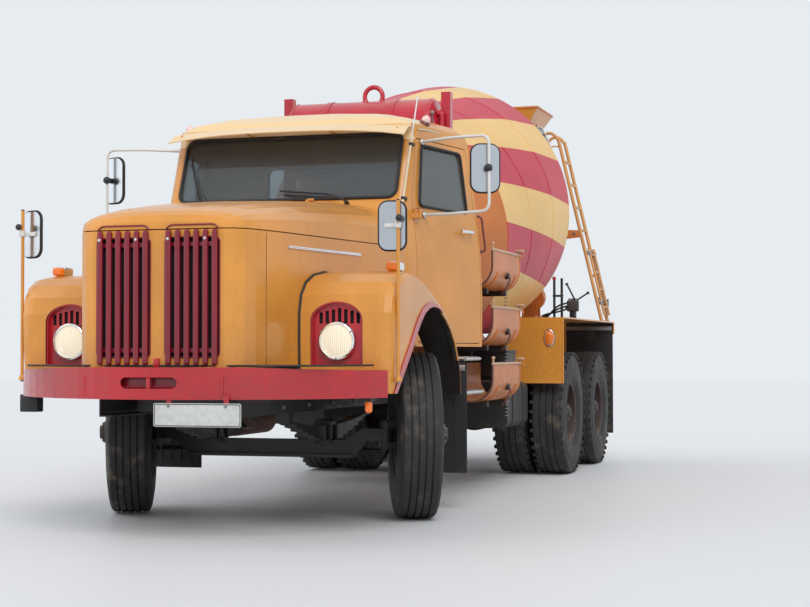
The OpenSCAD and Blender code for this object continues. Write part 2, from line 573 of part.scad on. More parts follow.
// Cab: plan rings by height, with the front edge, half widths at front and rear, and rear edge
// z, front y, front half width, rear half width, rear y, corner radius
CAB = [
    [1105, 190, 890, 1128, 0, 70], [1450, 190, 900, 1134, 0, 80], [1750, 190, 888, 1124, 0, 85],
    [1960, 200, 872, 1102, 0, 90], [2075, 258, 866, 1084, 0, 60], [2555, 446, 868, 1020, 0, 60],
    [2610, 430, 862, 1004, 6, 90], [2660, 470, 800, 930, 40, 140], [2705, 570, 640, 760, 110, 180],
    [2735, 700, 380, 500, 230, 190]];
function corner(p, r, from, n) = [for (i = [0:n]) p + r * [cos(from + 90 * i / n), sin(from + 90 * i / n)]];
function cab_ring(c, inset, z) = let (yf = c[1] + inset, yr = cab_rear_y - c[4] - inset, wf = c[2] - inset,
    wr = c[3] - inset, r = max(c[5] - inset, 8), n = 3)
    [for (p = concat(corner([wr - r, yr - r], r, 0, n), corner([-wr + r, yr - r], r, 90, n),
        corner([-wf + r, yf + r], r, 180, n), corner([wf - r, yf + r], r, 270, n))) [p[0], p[1], z]];
floor_z = CAB[0][0] + 40;
module cab_block(inset) {
    loft([for (c = CAB) cab_ring(c, inset, inset == 0 ? c[0] : max(c[0] - inset, c == CAB[0] ? floor_z : 0))]);
}
// Room inside the wall that reaches below the floor, for the doors' sills
module cab_room(inset) loft([for (c = CAB) cab_ring(c, inset, c[0] - (c == CAB[0] ? 20 : inset))]);
function cowl_ring(y, inset) = let (w = bonnet_w(y) - inset, base = inset == 0 ? CAB[0][0] : floor_z)
    concat([for (p = crown_row(y, lid_z, bonnet_w(y), bonnet_top(y), inset)) p], [[w, y, base], [-w, y, base]]);
module cowl_block(inset) loft([for (y = [bonnet_end_y + inset, 100, 300 + inset]) cowl_ring(y, inset)]);
module cab_body(outer, inner) difference() {
    union() {
        cab_block(outer);
        cowl_block(outer);
    }
    union() {
        cab_block(inner);
        cowl_block(inner);
    }
}
module rounded(points, r) offset(r = r, $fn = 24) offset(delta = -r) polygon(points);
door_low_z = 1128;
door_top_z = 2510;
module door_outline(grow) offset(delta = grow) rounded([[door_front_y, door_low_z], [door_rear_y, door_low_z],
    [door_rear_y, door_top_z], [door_front_y + 125, door_top_z], [door_front_y, 2080]], 30);
module door_window(grow) offset(delta = grow) rounded([[door_front_y + 78, 2048], [door_rear_y - 85, 2040],
    [door_rear_y - 85, 2468], [door_front_y + 180, 2468]], 45);
module screen_outline(grow) offset(delta = grow) rounded([[-screen_half_w, screen_low_z], [screen_half_w, screen_low_z],
    [screen_half_w, screen_top_z], [-screen_half_w, screen_top_z]], 60);
module rear_window_outline(grow) offset(delta = grow) rounded([[-520, 2110], [520, 2110], [520, 2430], [-520, 2430]], 50);
door_hinge = [930, door_front_y];
DOOR_HINGE_Z = [1310, 1990];
module door_hinges(shell) for (z = DOOR_HINGE_Z) if (shell) difference() {
    union() {
        translate([door_hinge[0], door_hinge[1], z - 30]) cylinder(h = 29.5, r = 11, $fn = 32);
        block(862, door_hinge[0], door_hinge[1] - 30, door_hinge[1] - 4, z - 30, z - 0.5);
    }
    translate([door_hinge[0], door_hinge[1], z - 31]) cylinder(h = 32, r = hinge_pin_r + run_gap, $fn = 32);
} else {
    translate([door_hinge[0], door_hinge[1], z - 30]) cylinder(h = 60, r = hinge_pin_r, $fn = 32);
    translate([door_hinge[0], door_hinge[1], z + 0.5]) cylinder(h = 29.5, r = 11, $fn = 32);
    block(z > 1900 ? 884 : 900, door_hinge[0], door_hinge[1] + 4, door_hinge[1] + 30, z + 0.5, z + 30);
}
// Brim over the windscreen: distance across, and its front edge's height below the crown
visor_half_w = 850;
visor_tip_y = 200;
visor_tip_z = 2555;
visor_root = [452, 2612];
visor_droop = 45;
module visor() sheet([for (k = [0, 0.5, 1]) [for (i = [-6:6]) let (u = i / 6, fall = visor_droop * pow(abs(u), 3))
    [u * (visor_half_w - 6 * k), lerp(visor_tip_y + 30 * u * u, visor_root[0] + 6 * u * u, k),
        lerp(visor_tip_z - fall, visor_root[1] - 14 * u * u, k) + 22 * sin(180 * k)]]], 6);
module cab_shell() color(YELLOW) from_front_axle() {
    visor();
    difference() {
        cab_body(0, cab_wall);
        both_sides() difference() {
            across(790, 1300) door_outline(panel_gap / 2);
            intersection() {
                cab_room(cab_wall + panel_gap);
                block(0, 1300, 0, cab_rear_y, 0, floor_z + 0.01);
            }
        }
        along(100, 620) screen_outline(0);
        along(cab_rear_y - 120, cab_rear_y + 50) rear_window_outline(0);
    }
    both_sides() {
        door_hinges(true);
        difference() {
            union() {
                axle_pipe(hinge_x + 1, hinge_x + 20, hinge_y, hinge_z, hinge_barrel_r);
                block(hinge_x + 1, hinge_x + 20, hinge_y, hinge_y + 45, hinge_z - 20, hinge_z - 4);
            }
            axle_pipe(hinge_x, hinge_x + 21, hinge_y, hinge_z, hinge_pin_r + run_gap);
        }
    }
}
module cab_glass() color(GLASS) from_front_axle() {
    intersection() {
        cab_body(12, 18);
        along(150, 560) screen_outline(-0.5);
    }
    along(cab_rear_y - 18, cab_rear_y - 12) rear_window_outline(-0.5);
}
module door(side) color(YELLOW) from_front_axle() mirror([side > 0 ? 0 : 1, 0, 0]) {
    difference() {
        intersection() {
            cab_block(0);
            across(790, 1300) door_outline(-panel_gap / 2);
        }
        cab_room(cab_wall);
        across(790, 1300) door_window(0);
    }
    door_hinges(false);
}
module door_glass(side) color(GLASS) from_front_axle() mirror([side > 0 ? 0 : 1, 0, 0]) difference() {
    intersection() {
        cab_block(12);
        across(790, 1300) door_window(-0.5);
    }
    cab_block(18);
}
module door_left() door(1);
module door_right() door(-1);
module door_glass_left() door_glass(1);
module door_glass_right() door_glass(-1);

// Tube round the mirror head, bent from the door's top down to its belt: x, y, z
MIRROR_TUBE = [[840, 545, 2488], [1120, 440, 2500], [1390, 384, 2500], [1390, 384, 2000], [1120, 430, 1990], [870, 470, 1988]];
// Points of a path whose corners are rounded off over a length of r
function rounded_path(p, r) = concat([p[0]], [for (i = [1:len(p) - 2], t = [0:0.25:1])
    let (a = p[i] + r * unit(p[i - 1] - p[i]), b = p[i] + r * unit(p[i + 1] - p[i]))
    lerp(lerp(a, p[i], t), lerp(p[i], b, t), t)], [p[len(p) - 1]]);
module bent_tube(points, r, bend) {
    path = rounded_path(points, bend);
    last = len(path) - 1;
    loft([for (i = [0:last]) let (along_path = unit(path[min(i + 1, last)] - path[max(i - 1, 0)]),
        u = unit(cross([0, 1, 0], along_path)), v = cross(along_path, u))
        [for (a = [0:30:359]) path[i] + r * (cos(a) * u + sin(a) * v)]]);
}
module door_mirror(side) color(STEEL) from_front_axle() mirror([side > 0 ? 0 : 1, 0, 0]) difference() {
    union() {
        bent_tube(MIRROR_TUBE, 11, 60);
        translate([1350, 365, 2285]) mirror_head(200, 330, 26);
    }
    cab_block(-seat_gap);
}
module door_mirror_left() door_mirror(1);
module door_mirror_right() door_mirror(-1);

module cab_interior() color(BLACK) from_front_axle() {
    for (x = [-430, 430]) {
        block(x - 230, x + 230, 640, 1120, floor_z + seat_gap, 1500);
        hull() {
            block(x - 230, x + 230, 640, 1120, 1499, 1600);
            block(x - 200, x + 200, 680, 1080, 1499, 1625);
        }
        translate([x, 1110, 1560]) rotate([-8, 0, 0]) block(-220, 220, -50, 50, 0, 550);
    }
    intersection() {
        across(-790, 790) polygon([[232, 1700], [300, 1700], [430, 1880], [430, 1950], [330, 2025], [270, 2025], [240, 1960]]);
        cab_block(cab_wall + seat_gap);
    }
    translate([430, 520, 1850]) rotate([-62, 0, 0]) {
        rotate_extrude($fn = 64) translate([235, 0]) circle(r = 14, $fn = 20);
        cylinder(h = 30, r = 60, center = true, $fn = 32);
        for (a = [30, 150, 270]) rotate([0, 0, a]) translate([50, -12, -6]) cube([178, 24, 12]);
    }
    bar([430, 505, 1843], [430, 330, 1740], 28);
}
module cab_steps() color(BLACK) from_front_axle() both_sides() {
    block(880, 1140, 700, 1180, 775, 800);
    block(880, 1120, 760, 1180, 1010, 1030);
    for (y = [760, 1150]) block(860, 880, y - 25, y + 25, 775, CAB[0][0] - seat_gap);
    for (y = [760, 1150]) block(rail_x + seat_gap, 860, y - 25, y + 25, rail_bottom_z + 80, rail_bottom_z + 130);
}
// Water tank across the back of the cab, with its stand

tank_y = cab_rear_y + 285;
tank_z = 2712;
tank_r = 235;
tank_x0 = -400;
tank_x1 = 700;
module water_tank() color(RED) from_front_axle() {
    translate([0, tank_y, tank_z]) rotate([0, 90, 0]) rotate_extrude($fn = 96) polygon(concat(
        [[0, tank_x0 - 30]], [[100, tank_x0 - 24], [190, tank_x0 - 2]], arc([tank_r - 24, tank_x0 + 24], 24, -60, 0, 3),
        arc([tank_r - 24, tank_x1 - 24], 24, 0, 60, 3), [[190, tank_x1 + 2], [100, tank_x1 + 24], [0, tank_x1 + 30]]));
    for (x = [-110, 400]) translate([x - 20, tank_y, tank_z]) rotate([0, 90, 0]) difference() {
        cylinder(h = 40, r = tank_r + 7, $fn = 96);
        translate([0, 0, -1]) cylinder(h = 42, r = tank_r, $fn = 96);
    }
    translate([208, tank_y, tank_z + tank_r + 38]) rotate([90, 0, 0]) rotate_extrude($fn = 48) translate([70, 0]) circle(r = 18, $fn = 24);
}
post_w = 70;
module tank_stand() color(RED) from_front_axle() {
    for (x = [tank_x0 - 35 - post_w, tank_x1 + 35]) {
        block(x, x + post_w, tank_y - 10, tank_y + 60, rail_top_z - 80, tank_z + 283);
        foot = x < 0 ? [x, -rail_x - seat_gap] : [rail_x + seat_gap, x + post_w];
        block(foot[0], foot[1], tank_y - 10, tank_y + 60, rail_top_z - 80, rail_top_z - 20);
    }
    difference() {
        block(tank_x0 - 35, tank_x1 + 35, tank_y - 10, tank_y + 60, tank_z - 330, tank_z - 190);
        translate([-1000, tank_y, tank_z]) rotate([0, 90, 0]) cylinder(h = 2000, r = tank_r + 7.5, $fn = 96);
    }
}
// Mixer drum on its tilted axis, whose start is the front seam

drum_y = wheelbase - drum_lead;
drive_y = drum_y - 970;
post_y = drum_y + 3430;
module on_drum_axis() from_front_axle() translate([0, drum_y, drum_z]) rotate([drum_tilt - 90, 0, 0]) children();
function drum_point(x, up, l) = [x, drum_y + l * cos(drum_tilt) - up * sin(drum_tilt),
    drum_z + l * sin(drum_tilt) + up * cos(drum_tilt)];
// Distance along the axis and outer radius
DRUM = [[-680, 700], [0, drum_seam_r], [1240, drum_r - 20], [1860, drum_r], [3200, mouth_r]];
function drum_radius(l) = lookup(l, DRUM);
seam_gap = 0.3;
module drum_ring(i) rotate_extrude($fn = 120) polygon([[DRUM[i][1], DRUM[i][0]], [DRUM[i + 1][1], DRUM[i + 1][0] - seam_gap],
    [DRUM[i + 1][1] - drum_wall, DRUM[i + 1][0] - seam_gap], [DRUM[i][1] - drum_wall, DRUM[i][0]]]);
drive_r = 150;
head_l = DRUM[0][0];
head_r = DRUM[0][1];
gearbox_l = head_l - 80;
module drum_front() color(ORANGE) on_drum_axis() rotate_extrude($fn = 120) polygon([
    [0, gearbox_l], [drive_r, gearbox_l], [drive_r, head_l - 52], [450, head_l - 38], [660, head_l - 14],
    [head_r, head_l + 10], [drum_seam_r, -seam_gap], [drum_seam_r - drum_wall, -seam_gap],
    [head_r - 14, head_l + 18], [654, head_l], [446, head_l - 24], [0, head_l - 38]]);
module drum_shell() color(CREAM) on_drum_axis() rotate_extrude($fn = 120) polygon([
    [DRUM[1][1], 0], [DRUM[2][1], DRUM[2][0]], [DRUM[3][1], DRUM[3][0] - seam_gap],
    [DRUM[3][1] - drum_wall, DRUM[3][0] - seam_gap], [DRUM[2][1] - drum_wall, DRUM[2][0]], [DRUM[1][1] - drum_wall, 0]]);
track_l = 2450;
track_r = drum_radius(track_l) + 75;
track_w = 110;
module drum_rear() color(CREAM) on_drum_axis() {
    drum_ring(3);
    rotate_extrude($fn = 120) polygon([[drum_radius(track_l - track_w / 2) + 0.3, track_l - track_w / 2],
        [track_r, track_l - track_w / 2], [track_r, track_l + track_w / 2],
        [drum_radius(track_l + track_w / 2) + 0.3, track_l + track_w / 2]]);
}
blade_turns = 0.8;
blade_l0 = 1900;
blade_l1 = 3000;
blade_h = 230;
module drum_blades() color(ORANGE) on_drum_axis() for (start = [0, 180])
    loft([for (i = [0:24]) let (t = i / 24, l = lerp(blade_l0, blade_l1, t), a = start + 360 * blade_turns * t,
        r = drum_radius(l + 10) - drum_wall - seam_gap, e = [cos(a), sin(a)])
        [[r * e[0], r * e[1], l], [r * e[0], r * e[1], l + 10],
            [(r - blade_h) * e[0], (r - blade_h) * e[1], l + 10], [(r - blade_h) * e[0], (r - blade_h) * e[1], l]]]);

roller_r = 125;
roller_angle = 35;
post_x0 = rail_x - 80;
post_x1 = rail_x - 20;
sub_z = rail_top_z + 55;
roller_y = drum_y + track_l * cos(drum_tilt) + (track_r + roller_r) * cos(roller_angle) * sin(drum_tilt);
module roller_place(s) on_drum_axis() rotate([0, 0, s * roller_angle]) translate([0, track_r + roller_r + 0.6, track_l]) children();
chute_pivot_y = tail_overhang - chute_w / 2;
swivel_z = rail_top_z + 40;
swivel_r = 45;
module mixer_frame() color(ORANGE) {
    from_front_axle() {
        both_sides() {
            block(post_x0, rail_x, drive_y - 140, frame_end_y - 40, rail_top_z + seat_gap, sub_z);
            // Front pedestal with the drum's drive
            across(rail_x - 75, rail_x - 20) polygon([[drive_y - 140, sub_z], [drive_y + 340, sub_z],
                [drive_y + 200, 1500], [drive_y - 60, 1500]]);
            // Rear pedestal
            across(post_x0, rail_x) polygon([[roller_y - 230, sub_z], [roller_y + 230, sub_z],
                [roller_y + 80, 1300], [roller_y - 80, 1300]]);
            hull() {
                block(post_x0, rail_x, roller_y - 80, roller_y + 80, 1299, 1310);
                block(560, 720, roller_y - 80, roller_y + 80, 1392, 1404);
            }
            // Posts that carry the collector and the hopper
            across(post_x0, post_x1) translate([post_y, 0])
                polygon([[-60, sub_z], [70, sub_z], [60, 1900], [60, 3060], [0, 3060], [0, 1900]]);
        }
        block(-rail_x + 75, rail_x - 75, drive_y - 40, drive_y + 180, 1440, 1500);
        difference() {
            block(-190, 190, drive_y, drive_y + 140, 1500, 1700);
            translate([0, drum_y, drum_z]) rotate([drum_tilt - 90, 0, 0]) translate([0, 0, gearbox_l - 400]) cylinder(h = 400, r = 199, $fn = 64);
        }
        block(-post_x0, post_x0, roller_y - 40, roller_y + 40, 1240, 1300);
        block(-post_x0, post_x0, post_y, post_y + 60, rail_top_z + seat_gap, sub_z);
        // Arm and bearing of the discharge chute
        difference() {
            union() {
                across(-50, 50) polygon([[post_y + 20, sub_z - 40], [chute_pivot_y, swivel_z + 20],
                    [chute_pivot_y, swivel_z + 140], [post_y + 20, sub_z]]);
                translate([0, chute_pivot_y, swivel_z]) cylinder(h = 160, r = 70, $fn = 48);
            }
            translate([0, chute_pivot_y, swivel_z - 1]) cylinder(h = 162, r = swivel_r + run_gap, $fn = 48);
        }
    }
    on_drum_axis() translate([0, 0, gearbox_l - 300 - 1]) cylinder(h = 300, r = 200, $fn = 64);
    // Rollers under the track ring, each between two cheeks
    for (s = [-1, 1]) {
        roller_place(s) translate([0, 0, -50]) cylinder(h = 100, r = roller_r, $fn = 64);
        roller_place(s) translate([0, 0, -75]) cylinder(h = 150, r = 25, $fn = 32);
        for (l = [-75, 60]) intersection() {
            roller_place(s) translate([0, 0, l]) linear_extrude(15) rotate(-s * roller_angle) translate([-60, -30]) square([120, 400]);
            from_front_axle() block(-900, 900, roller_y - 300, roller_y + 300, 1398, 2000);
        }
    }
}

// Hopper, collector and discharge chute at the rear

// Hull between two level rectangles, each given as half width, front y, rear y and z
module tapered(a, b) hull() {
    block(-a[0], a[0], a[1], a[2], a[3] - 0.5, a[3]);
    block(-b[0], b[0], b[1], b[2], b[3], b[3] + 0.5);
}
function shrunk(a, t, dz) = [a[0] - t, a[1] + t, a[2] - t, a[3] + dz];
hopper_t = 12;
HOPPER = [[610, post_y - 440, post_y + 290, 3465], [240, post_y - 250, post_y + 60, 2901],
    [170, post_y - 510, post_y - 320, 2700]];
module charge_hopper() color(ORANGE) from_front_axle() difference() {
    union() {
        tapered(HOPPER[0], HOPPER[1]);
        tapered(HOPPER[1], HOPPER[2]);
        block(-post_x0 + seat_gap, post_x0 - seat_gap, post_y + 10, post_y + 50, 3010, 3050);
    }
    tapered(shrunk(HOPPER[0], hopper_t, 1), shrunk(HOPPER[1], hopper_t, 0));
    tapered(shrunk(HOPPER[1], hopper_t, 1), shrunk(HOPPER[2], hopper_t, -1));
}
// Centre y, z and radius of the collector's rim and of its outlet
collector_rim = [post_y + 70, 1900, 310];
collector_outlet = [chute_pivot_y - 40, 1625, 120];
module collector_form(t, dz) hull() {
    translate([0, collector_rim[0], collector_rim[1] + dz]) cylinder(h = 1, r = collector_rim[2] - t, $fn = 32);
    translate([0, collector_outlet[0], collector_outlet[1] - dz]) cylinder(h = 1, r = collector_outlet[2] - t, $fn = 32);
}
module discharge_collector() color(ORANGE) from_front_axle() difference() {
    union() {
        collector_form(0, 0);
        block(-post_x0 + seat_gap, post_x0 - seat_gap, post_y + 10, post_y + 50, 1840, 1880);
    }
    collector_form(8, 2);
}
// Deep trough: a half round with straight sides, drawn as [across, up] from the middle of its top
module trough_outline(t) difference() {
    union() {
        translate([0, chute_w / 2 - chute_depth]) circle(r = chute_w / 2, $fn = 64);
        translate([-chute_w / 2, chute_w / 2 - chute_depth]) square([chute_w, chute_depth - chute_w / 2]);
    }
    translate([0, chute_w / 2 - chute_depth]) circle(r = chute_w / 2 - t, $fn = 64);
    translate([-chute_w / 2 + t, chute_w / 2 - chute_depth]) square([chute_w - 2 * t, chute_depth]);
}
chute_t = 5;
chute_l = 1150;
chute_tail = 110;
chute_pin_r = 15;
chute_pin_z = swivel_z + 260;
module chute_swivel() color(ORANGE) from_front_axle() translate([0, chute_pivot_y, 0]) {
    translate([0, 0, swivel_z - 20]) cylinder(h = 181, r = swivel_r, $fn = 48);
    translate([0, 0, swivel_z - 40]) cylinder(h = 39.7, r = 60, $fn = 48);
    translate([0, 0, swivel_z + 160.3]) cylinder(h = 40, r = 75, $fn = 48);
    difference() {
        for (s = [-1, 1]) {
            block(-26, 26, s * 61 - 6, s * 61 + 6, swivel_z + 200, chute_pin_z);
            translate([0, s * 61 - 6, chute_pin_z]) rotate([-90, 0, 0]) cylinder(h = 12, r = 26, $fn = 32);
        }
        translate([0, -80, chute_pin_z]) rotate([-90, 0, 0]) cylinder(h = 160, r = chute_pin_r + run_gap, $fn = 32);
    }
}
module chute() color(ORANGE) from_front_axle() translate([0, chute_pivot_y, 0]) {
    translate([chute_tail - chute_l, 0, chute_pin_z + 40 + chute_depth]) rotate([90, 0, 90]) linear_extrude(chute_l) trough_outline(chute_t);
    difference() {
        union() {
            translate([0, -54, chute_pin_z]) rotate([-90, 0, 0]) cylinder(h = 108, r = 26, $fn = 32);
            block(-26, 26, -54, 54, chute_pin_z, chute_pin_z + 60);
        }
        translate([-100, 0, chute_pin_z + 40 + chute_w / 2]) rotate([0, 90, 0]) cylinder(h = 200, r = chute_w / 2 - chute_t / 2, $fn = 64);
    }
    translate([0, -80, chute_pin_z]) rotate([-90, 0, 0]) cylinder(h = 160, r = chute_pin_r, $fn = 32);
}

// Ladder at the left rear: foot and head of its middle line, [x, z]
guard_z = 1360;
ladder_foot = [1190, guard_z + 4.3];
ladder_head = [765, 3170];
ladder_y = frame_end_y - 165;
ladder_half_w = 165;
module ladder() color(STEEL) from_front_axle() {
    for (s = [-1, 1]) bar([ladder_foot[0], ladder_y + s * ladder_half_w, ladder_foot[1]],
        [ladder_head[0], ladder_y + s * ladder_half_w, ladder_head[1]], 17);
    for (i = [1:7]) let (t = i / 8, x = lerp(ladder_foot[0], ladder_head[0], t), z = lerp(ladder_foot[1], ladder_head[1], t))
        translate([x, ladder_y - ladder_half_w, z]) rotate([-90, 0, 0]) cylinder(h = 2 * ladder_half_w, r = 13, $fn = 24);
}

// Spare chutes in their rack behind the cab's left side

spare_x = 1015;
spare_y0 = cab_rear_y + 60;
SPARE_Z = [975, 1385, 1800];
module spare_chutes() color(ORANGE) from_front_axle() for (z = SPARE_Z)
    translate([spare_x, 0, z]) along(spare_y0, spare_y0 + spare_chute_l) trough_outline(chute_t);
module chute_rack() color(BLACK) from_front_axle() for (y = [spare_y0 + 180, spare_y0 + spare_chute_l - 120]) {
    block(790, 825, y - 25, y + 25, 660, SPARE_Z[2]);
    block(rail_x + seat_gap, 790, y - 25, y + 25, rail_bottom_z + 20, rail_bottom_z + 70);
    for (z = SPARE_Z) block(825, spare_x + 80, y - 20, y + 20, z - chute_depth - 36, z - chute_depth - seat_gap);
}

// Rear mudguards: flat top, front panel and a folded edge

guard_y0 = wheelbase - 600;
guard_y1 = frame_end_y + 50;
guard_x0 = 745;
guard_x1 = 1245;
guard_t = 6;
module rear_mudguards() color(YELLOW) from_front_axle() both_sides() {
    across(guard_x0, guard_x1) polygon([[guard_y0, 800], [guard_y0 + guard_t, 800], [guard_y0 + guard_t, guard_z - guard_t],
        [guard_y1 - guard_t, guard_z - guard_t], [guard_y1 - guard_t, guard_z - 120], [guard_y1, guard_z - 120],
        [guard_y1, guard_z], [guard_y0, guard_z]]);
    for (y = [guard_y0 + 40, spring_mid_y, guard_y1 - 140]) {
        block(rail_x + seat_gap, guard_x0 + 40, y - 30, y + 30, rail_top_z - 80, rail_top_z - 20);
        block(guard_x0, guard_x0 + 40, y - 30, y + 30, rail_top_z - 80, guard_z - guard_t / 2);
    }
}
module mud_flaps() color(BLACK) from_front_axle() both_sides() {
    flap_y = WING[len(WING) - 1][0][0] + 84;
    block(780, 1165, flap_y, flap_y + 8, 250, 1000);
    block(rail_x + seat_gap, 800, flap_y + 8, flap_y + 40, rail_top_z - 60, rail_top_z - 20);
    block(750, 1235, guard_y1 - guard_t - 8.3, guard_y1 - guard_t - seat_gap, 260, guard_z - guard_t - seat_gap);
}
tank_side_x = 560;
tank_side_y = wheelbase - 800;
module side_tanks() color(BLACK) from_front_axle() both_sides() {
    translate([770, tank_side_y, 640]) rotate([90, 0, 0]) linear_extrude(750)
        offset(r = 60, $fn = 32) square([2 * (770 - tank_side_x) - 120, 240], center = true);
    for (y = [tank_side_y - 550, tank_side_y - 200])
        block(rail_x + seat_gap, tank_side_x, y - 30, y + 30, rail_bottom_z + 20, rail_bottom_z + 60);
}
lamp_bar_y = guard_y1 + 5;
module rear_lamps() color(RED) from_front_axle() {
    both_sides() block(rail_x - 75, 1150, lamp_bar_y, lamp_bar_y + 35, 760, 860);
    both_sides() for (x = [850, 1000]) translate([x, lamp_bar_y + 35, 810]) rotate([-90, 0, 0]) cylinder(h = 25, r = 45, $fn = 32);
    both_sides() block(rail_x - 60, rail_x, frame_end_y + seat_gap, lamp_bar_y, 780, 840);
}
chassis_frame();
mixer_frame();
front_bumper();
engine();
radiator();
prop_shafts();
front_axle();
rear_bogie();
knuckle_left();
knuckle_right();
tie_rod();
front_tyre_left();
front_rim_left();
front_tyre_right();
front_rim_right();
first_rear_tyres_left();
first_rear_rims_left();
first_rear_tyres_right();
first_rear_rims_right();
second_rear_tyres_left();
second_rear_rims_left();
second_rear_tyres_right();
second_rear_rims_right();
nose_and_sides();
grille_bars();
bonnet_lid();
front_wings();
headlight_panels();
headlights();
wing_mirrors();
cab_shell();
cab_glass();
door_left();
door_right();
door_glass_left();
door_glass_right();
door_mirror_left();
door_mirror_right();
cab_interior();
cab_steps();
water_tank();
tank_stand();
drum_front();
drum_shell();
drum_rear();
drum_blades();
charge_hopper();
discharge_collector();
chute_swivel();
chute();
ladder();
chute_rack();
spare_chutes();
rear_mudguards();
mud_flaps();
side_tanks();
rear_lamps();
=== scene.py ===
"""Finishes, fittings, light and camera for the concrete mixer truck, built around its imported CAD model.

Metres, in the CAD model's own frame: +X is the truck's left side, -Y its front and +Z up.
"""

import math

import bmesh
import bpy
from mathutils import Matrix, Vector


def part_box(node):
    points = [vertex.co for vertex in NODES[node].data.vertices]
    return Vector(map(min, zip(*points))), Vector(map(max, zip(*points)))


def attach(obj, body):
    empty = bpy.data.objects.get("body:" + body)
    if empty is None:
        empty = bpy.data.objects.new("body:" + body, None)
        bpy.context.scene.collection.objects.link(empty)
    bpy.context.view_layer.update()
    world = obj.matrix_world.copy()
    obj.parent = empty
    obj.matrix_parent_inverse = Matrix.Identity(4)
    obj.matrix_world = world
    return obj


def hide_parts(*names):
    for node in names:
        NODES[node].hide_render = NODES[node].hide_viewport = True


bl_info = {
    "name": "Concrete Mixer Truck",
    "version": (1, 0, 0),
    "blender": (4, 5, 0),
    "location": "3D View > Sidebar > Mixer Truck",
    "description": "Finishes and fittings of a bonneted three-axle concrete mixer truck",
    "category": "Object",
}

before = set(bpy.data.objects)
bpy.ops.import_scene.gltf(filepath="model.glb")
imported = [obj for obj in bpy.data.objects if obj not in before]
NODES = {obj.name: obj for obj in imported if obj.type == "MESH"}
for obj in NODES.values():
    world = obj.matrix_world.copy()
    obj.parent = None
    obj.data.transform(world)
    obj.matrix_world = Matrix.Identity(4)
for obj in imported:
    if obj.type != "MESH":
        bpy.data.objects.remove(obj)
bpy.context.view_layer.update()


def centre_of(node):
    low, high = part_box(node)
    return (low + high) / 2


# The front axle is the origin of the places along the truck
AXLE_Y = centre_of("front_axle").y
TYRE_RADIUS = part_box("first_rear_tyres_left")[1].z / 2
STEER = math.radians(22)
WHEELBASE = 4.2
BOGIE_SPACING = 1.35
REAR_AXLES = (WHEELBASE, WHEELBASE + BOGIE_SPACING)
DRUM_TILT = math.radians(10.7)
DRUM_SEAM = Vector((0, AXLE_Y + 2.61, 2.01))
DRUM_AXIS = Vector((0, math.cos(DRUM_TILT), math.sin(DRUM_TILT)))
DRUM_UP = Vector((0, -math.sin(DRUM_TILT), math.cos(DRUM_TILT)))
SIDES = (1, -1)
BOTH_SIDES = (("left", 1), ("right", -1))
LEFT, BACK, UP = Vector((1, 0, 0)), Vector((0, 1, 0)), Vector((0, 0, 1))
FRONT, DOWN = Vector((0, -1, 0)), Vector((0, 0, -1))


def at(x, y, z):
    """A point whose y is measured back from the front axle."""
    return Vector((x, AXLE_Y + y, z))


def on_drum(along, radius, angle):
    """A point on the drum: distance behind its front seam, radius, and angle up from its left side."""
    out = Vector((math.cos(angle), 0, 0)) + DRUM_UP * math.sin(angle)
    return DRUM_SEAM + DRUM_AXIS * along + out * radius


def srgb(red, green, blue):
    """A colour on a scale of 255, as the linear values that Blender works in."""
    return tuple(((c / 255 + 0.055) / 1.055) ** 2.4 for c in (red, green, blue))


# Settings


def colour(name, description, default):
    return bpy.props.FloatVectorProperty(
        name=name, description=description, subtype="COLOR", size=3, min=0, max=1, default=default)


def length(name, description, default):
    return bpy.props.FloatProperty(name=name, description=description, unit="LENGTH", min=0, default=default)


class TruckColours(bpy.types.PropertyGroup):
    body: colour("Body", "Cab, bonnet, wings and mudguards", srgb(212, 142, 55))
    # Painted highlight: the paler colour of the brim over the windscreen and of the roof's front stands for
    # the light from above that falls on them
    visor_highlight: colour("Visor", "Brim over the windscreen and the roof's front", srgb(232, 200, 150))
    mixer: colour("Mixer", "Subframe, hopper, chutes and the drum's front", srgb(200, 116, 52))
    cream: colour("Cream", "Pale ground of the drum between its bands", srgb(233, 190, 116))
    bands: colour("Bands", "Red bands of the drum", srgb(192, 10, 54))
    bumper: colour("Bumper", "Front bumper and lamp recesses", srgb(180, 20, 34))
    grille: colour("Grille", "Grille bars", srgb(126, 14, 34))
    tank: colour("Tank", "Water tank and its stand", srgb(184, 24, 48))
    chassis: colour("Chassis", "Frame, axles and springs", srgb(34, 34, 36))
    rubber: colour("Rubber", "Tyres, flaps, hoses and seals", srgb(38, 36, 37))
    seat: colour("Seats", "Seat covers", srgb(60, 52, 46))


class TruckSizes(bpy.types.PropertyGroup):
    groove: length("Tread groove", "Depth of the tyres' tread grooves", 0.013)
    bolt: length("Bolt", "Width across the flats of a chassis bolt", 0.024)
    band_pitch: bpy.props.FloatProperty(
        name="Band pitch", description="Angle from one drum band to the next", unit="ROTATION",
        default=math.radians(40))
    band_twist: bpy.props.FloatProperty(
        name="Band twist", description="How far the bands turn for each metre along the drum",
        unit="ROTATION", default=math.radians(12.5))


def colours():
    return bpy.context.scene.truck_colours


def sizes():
    return bpy.context.scene.truck_sizes


# Shader maths


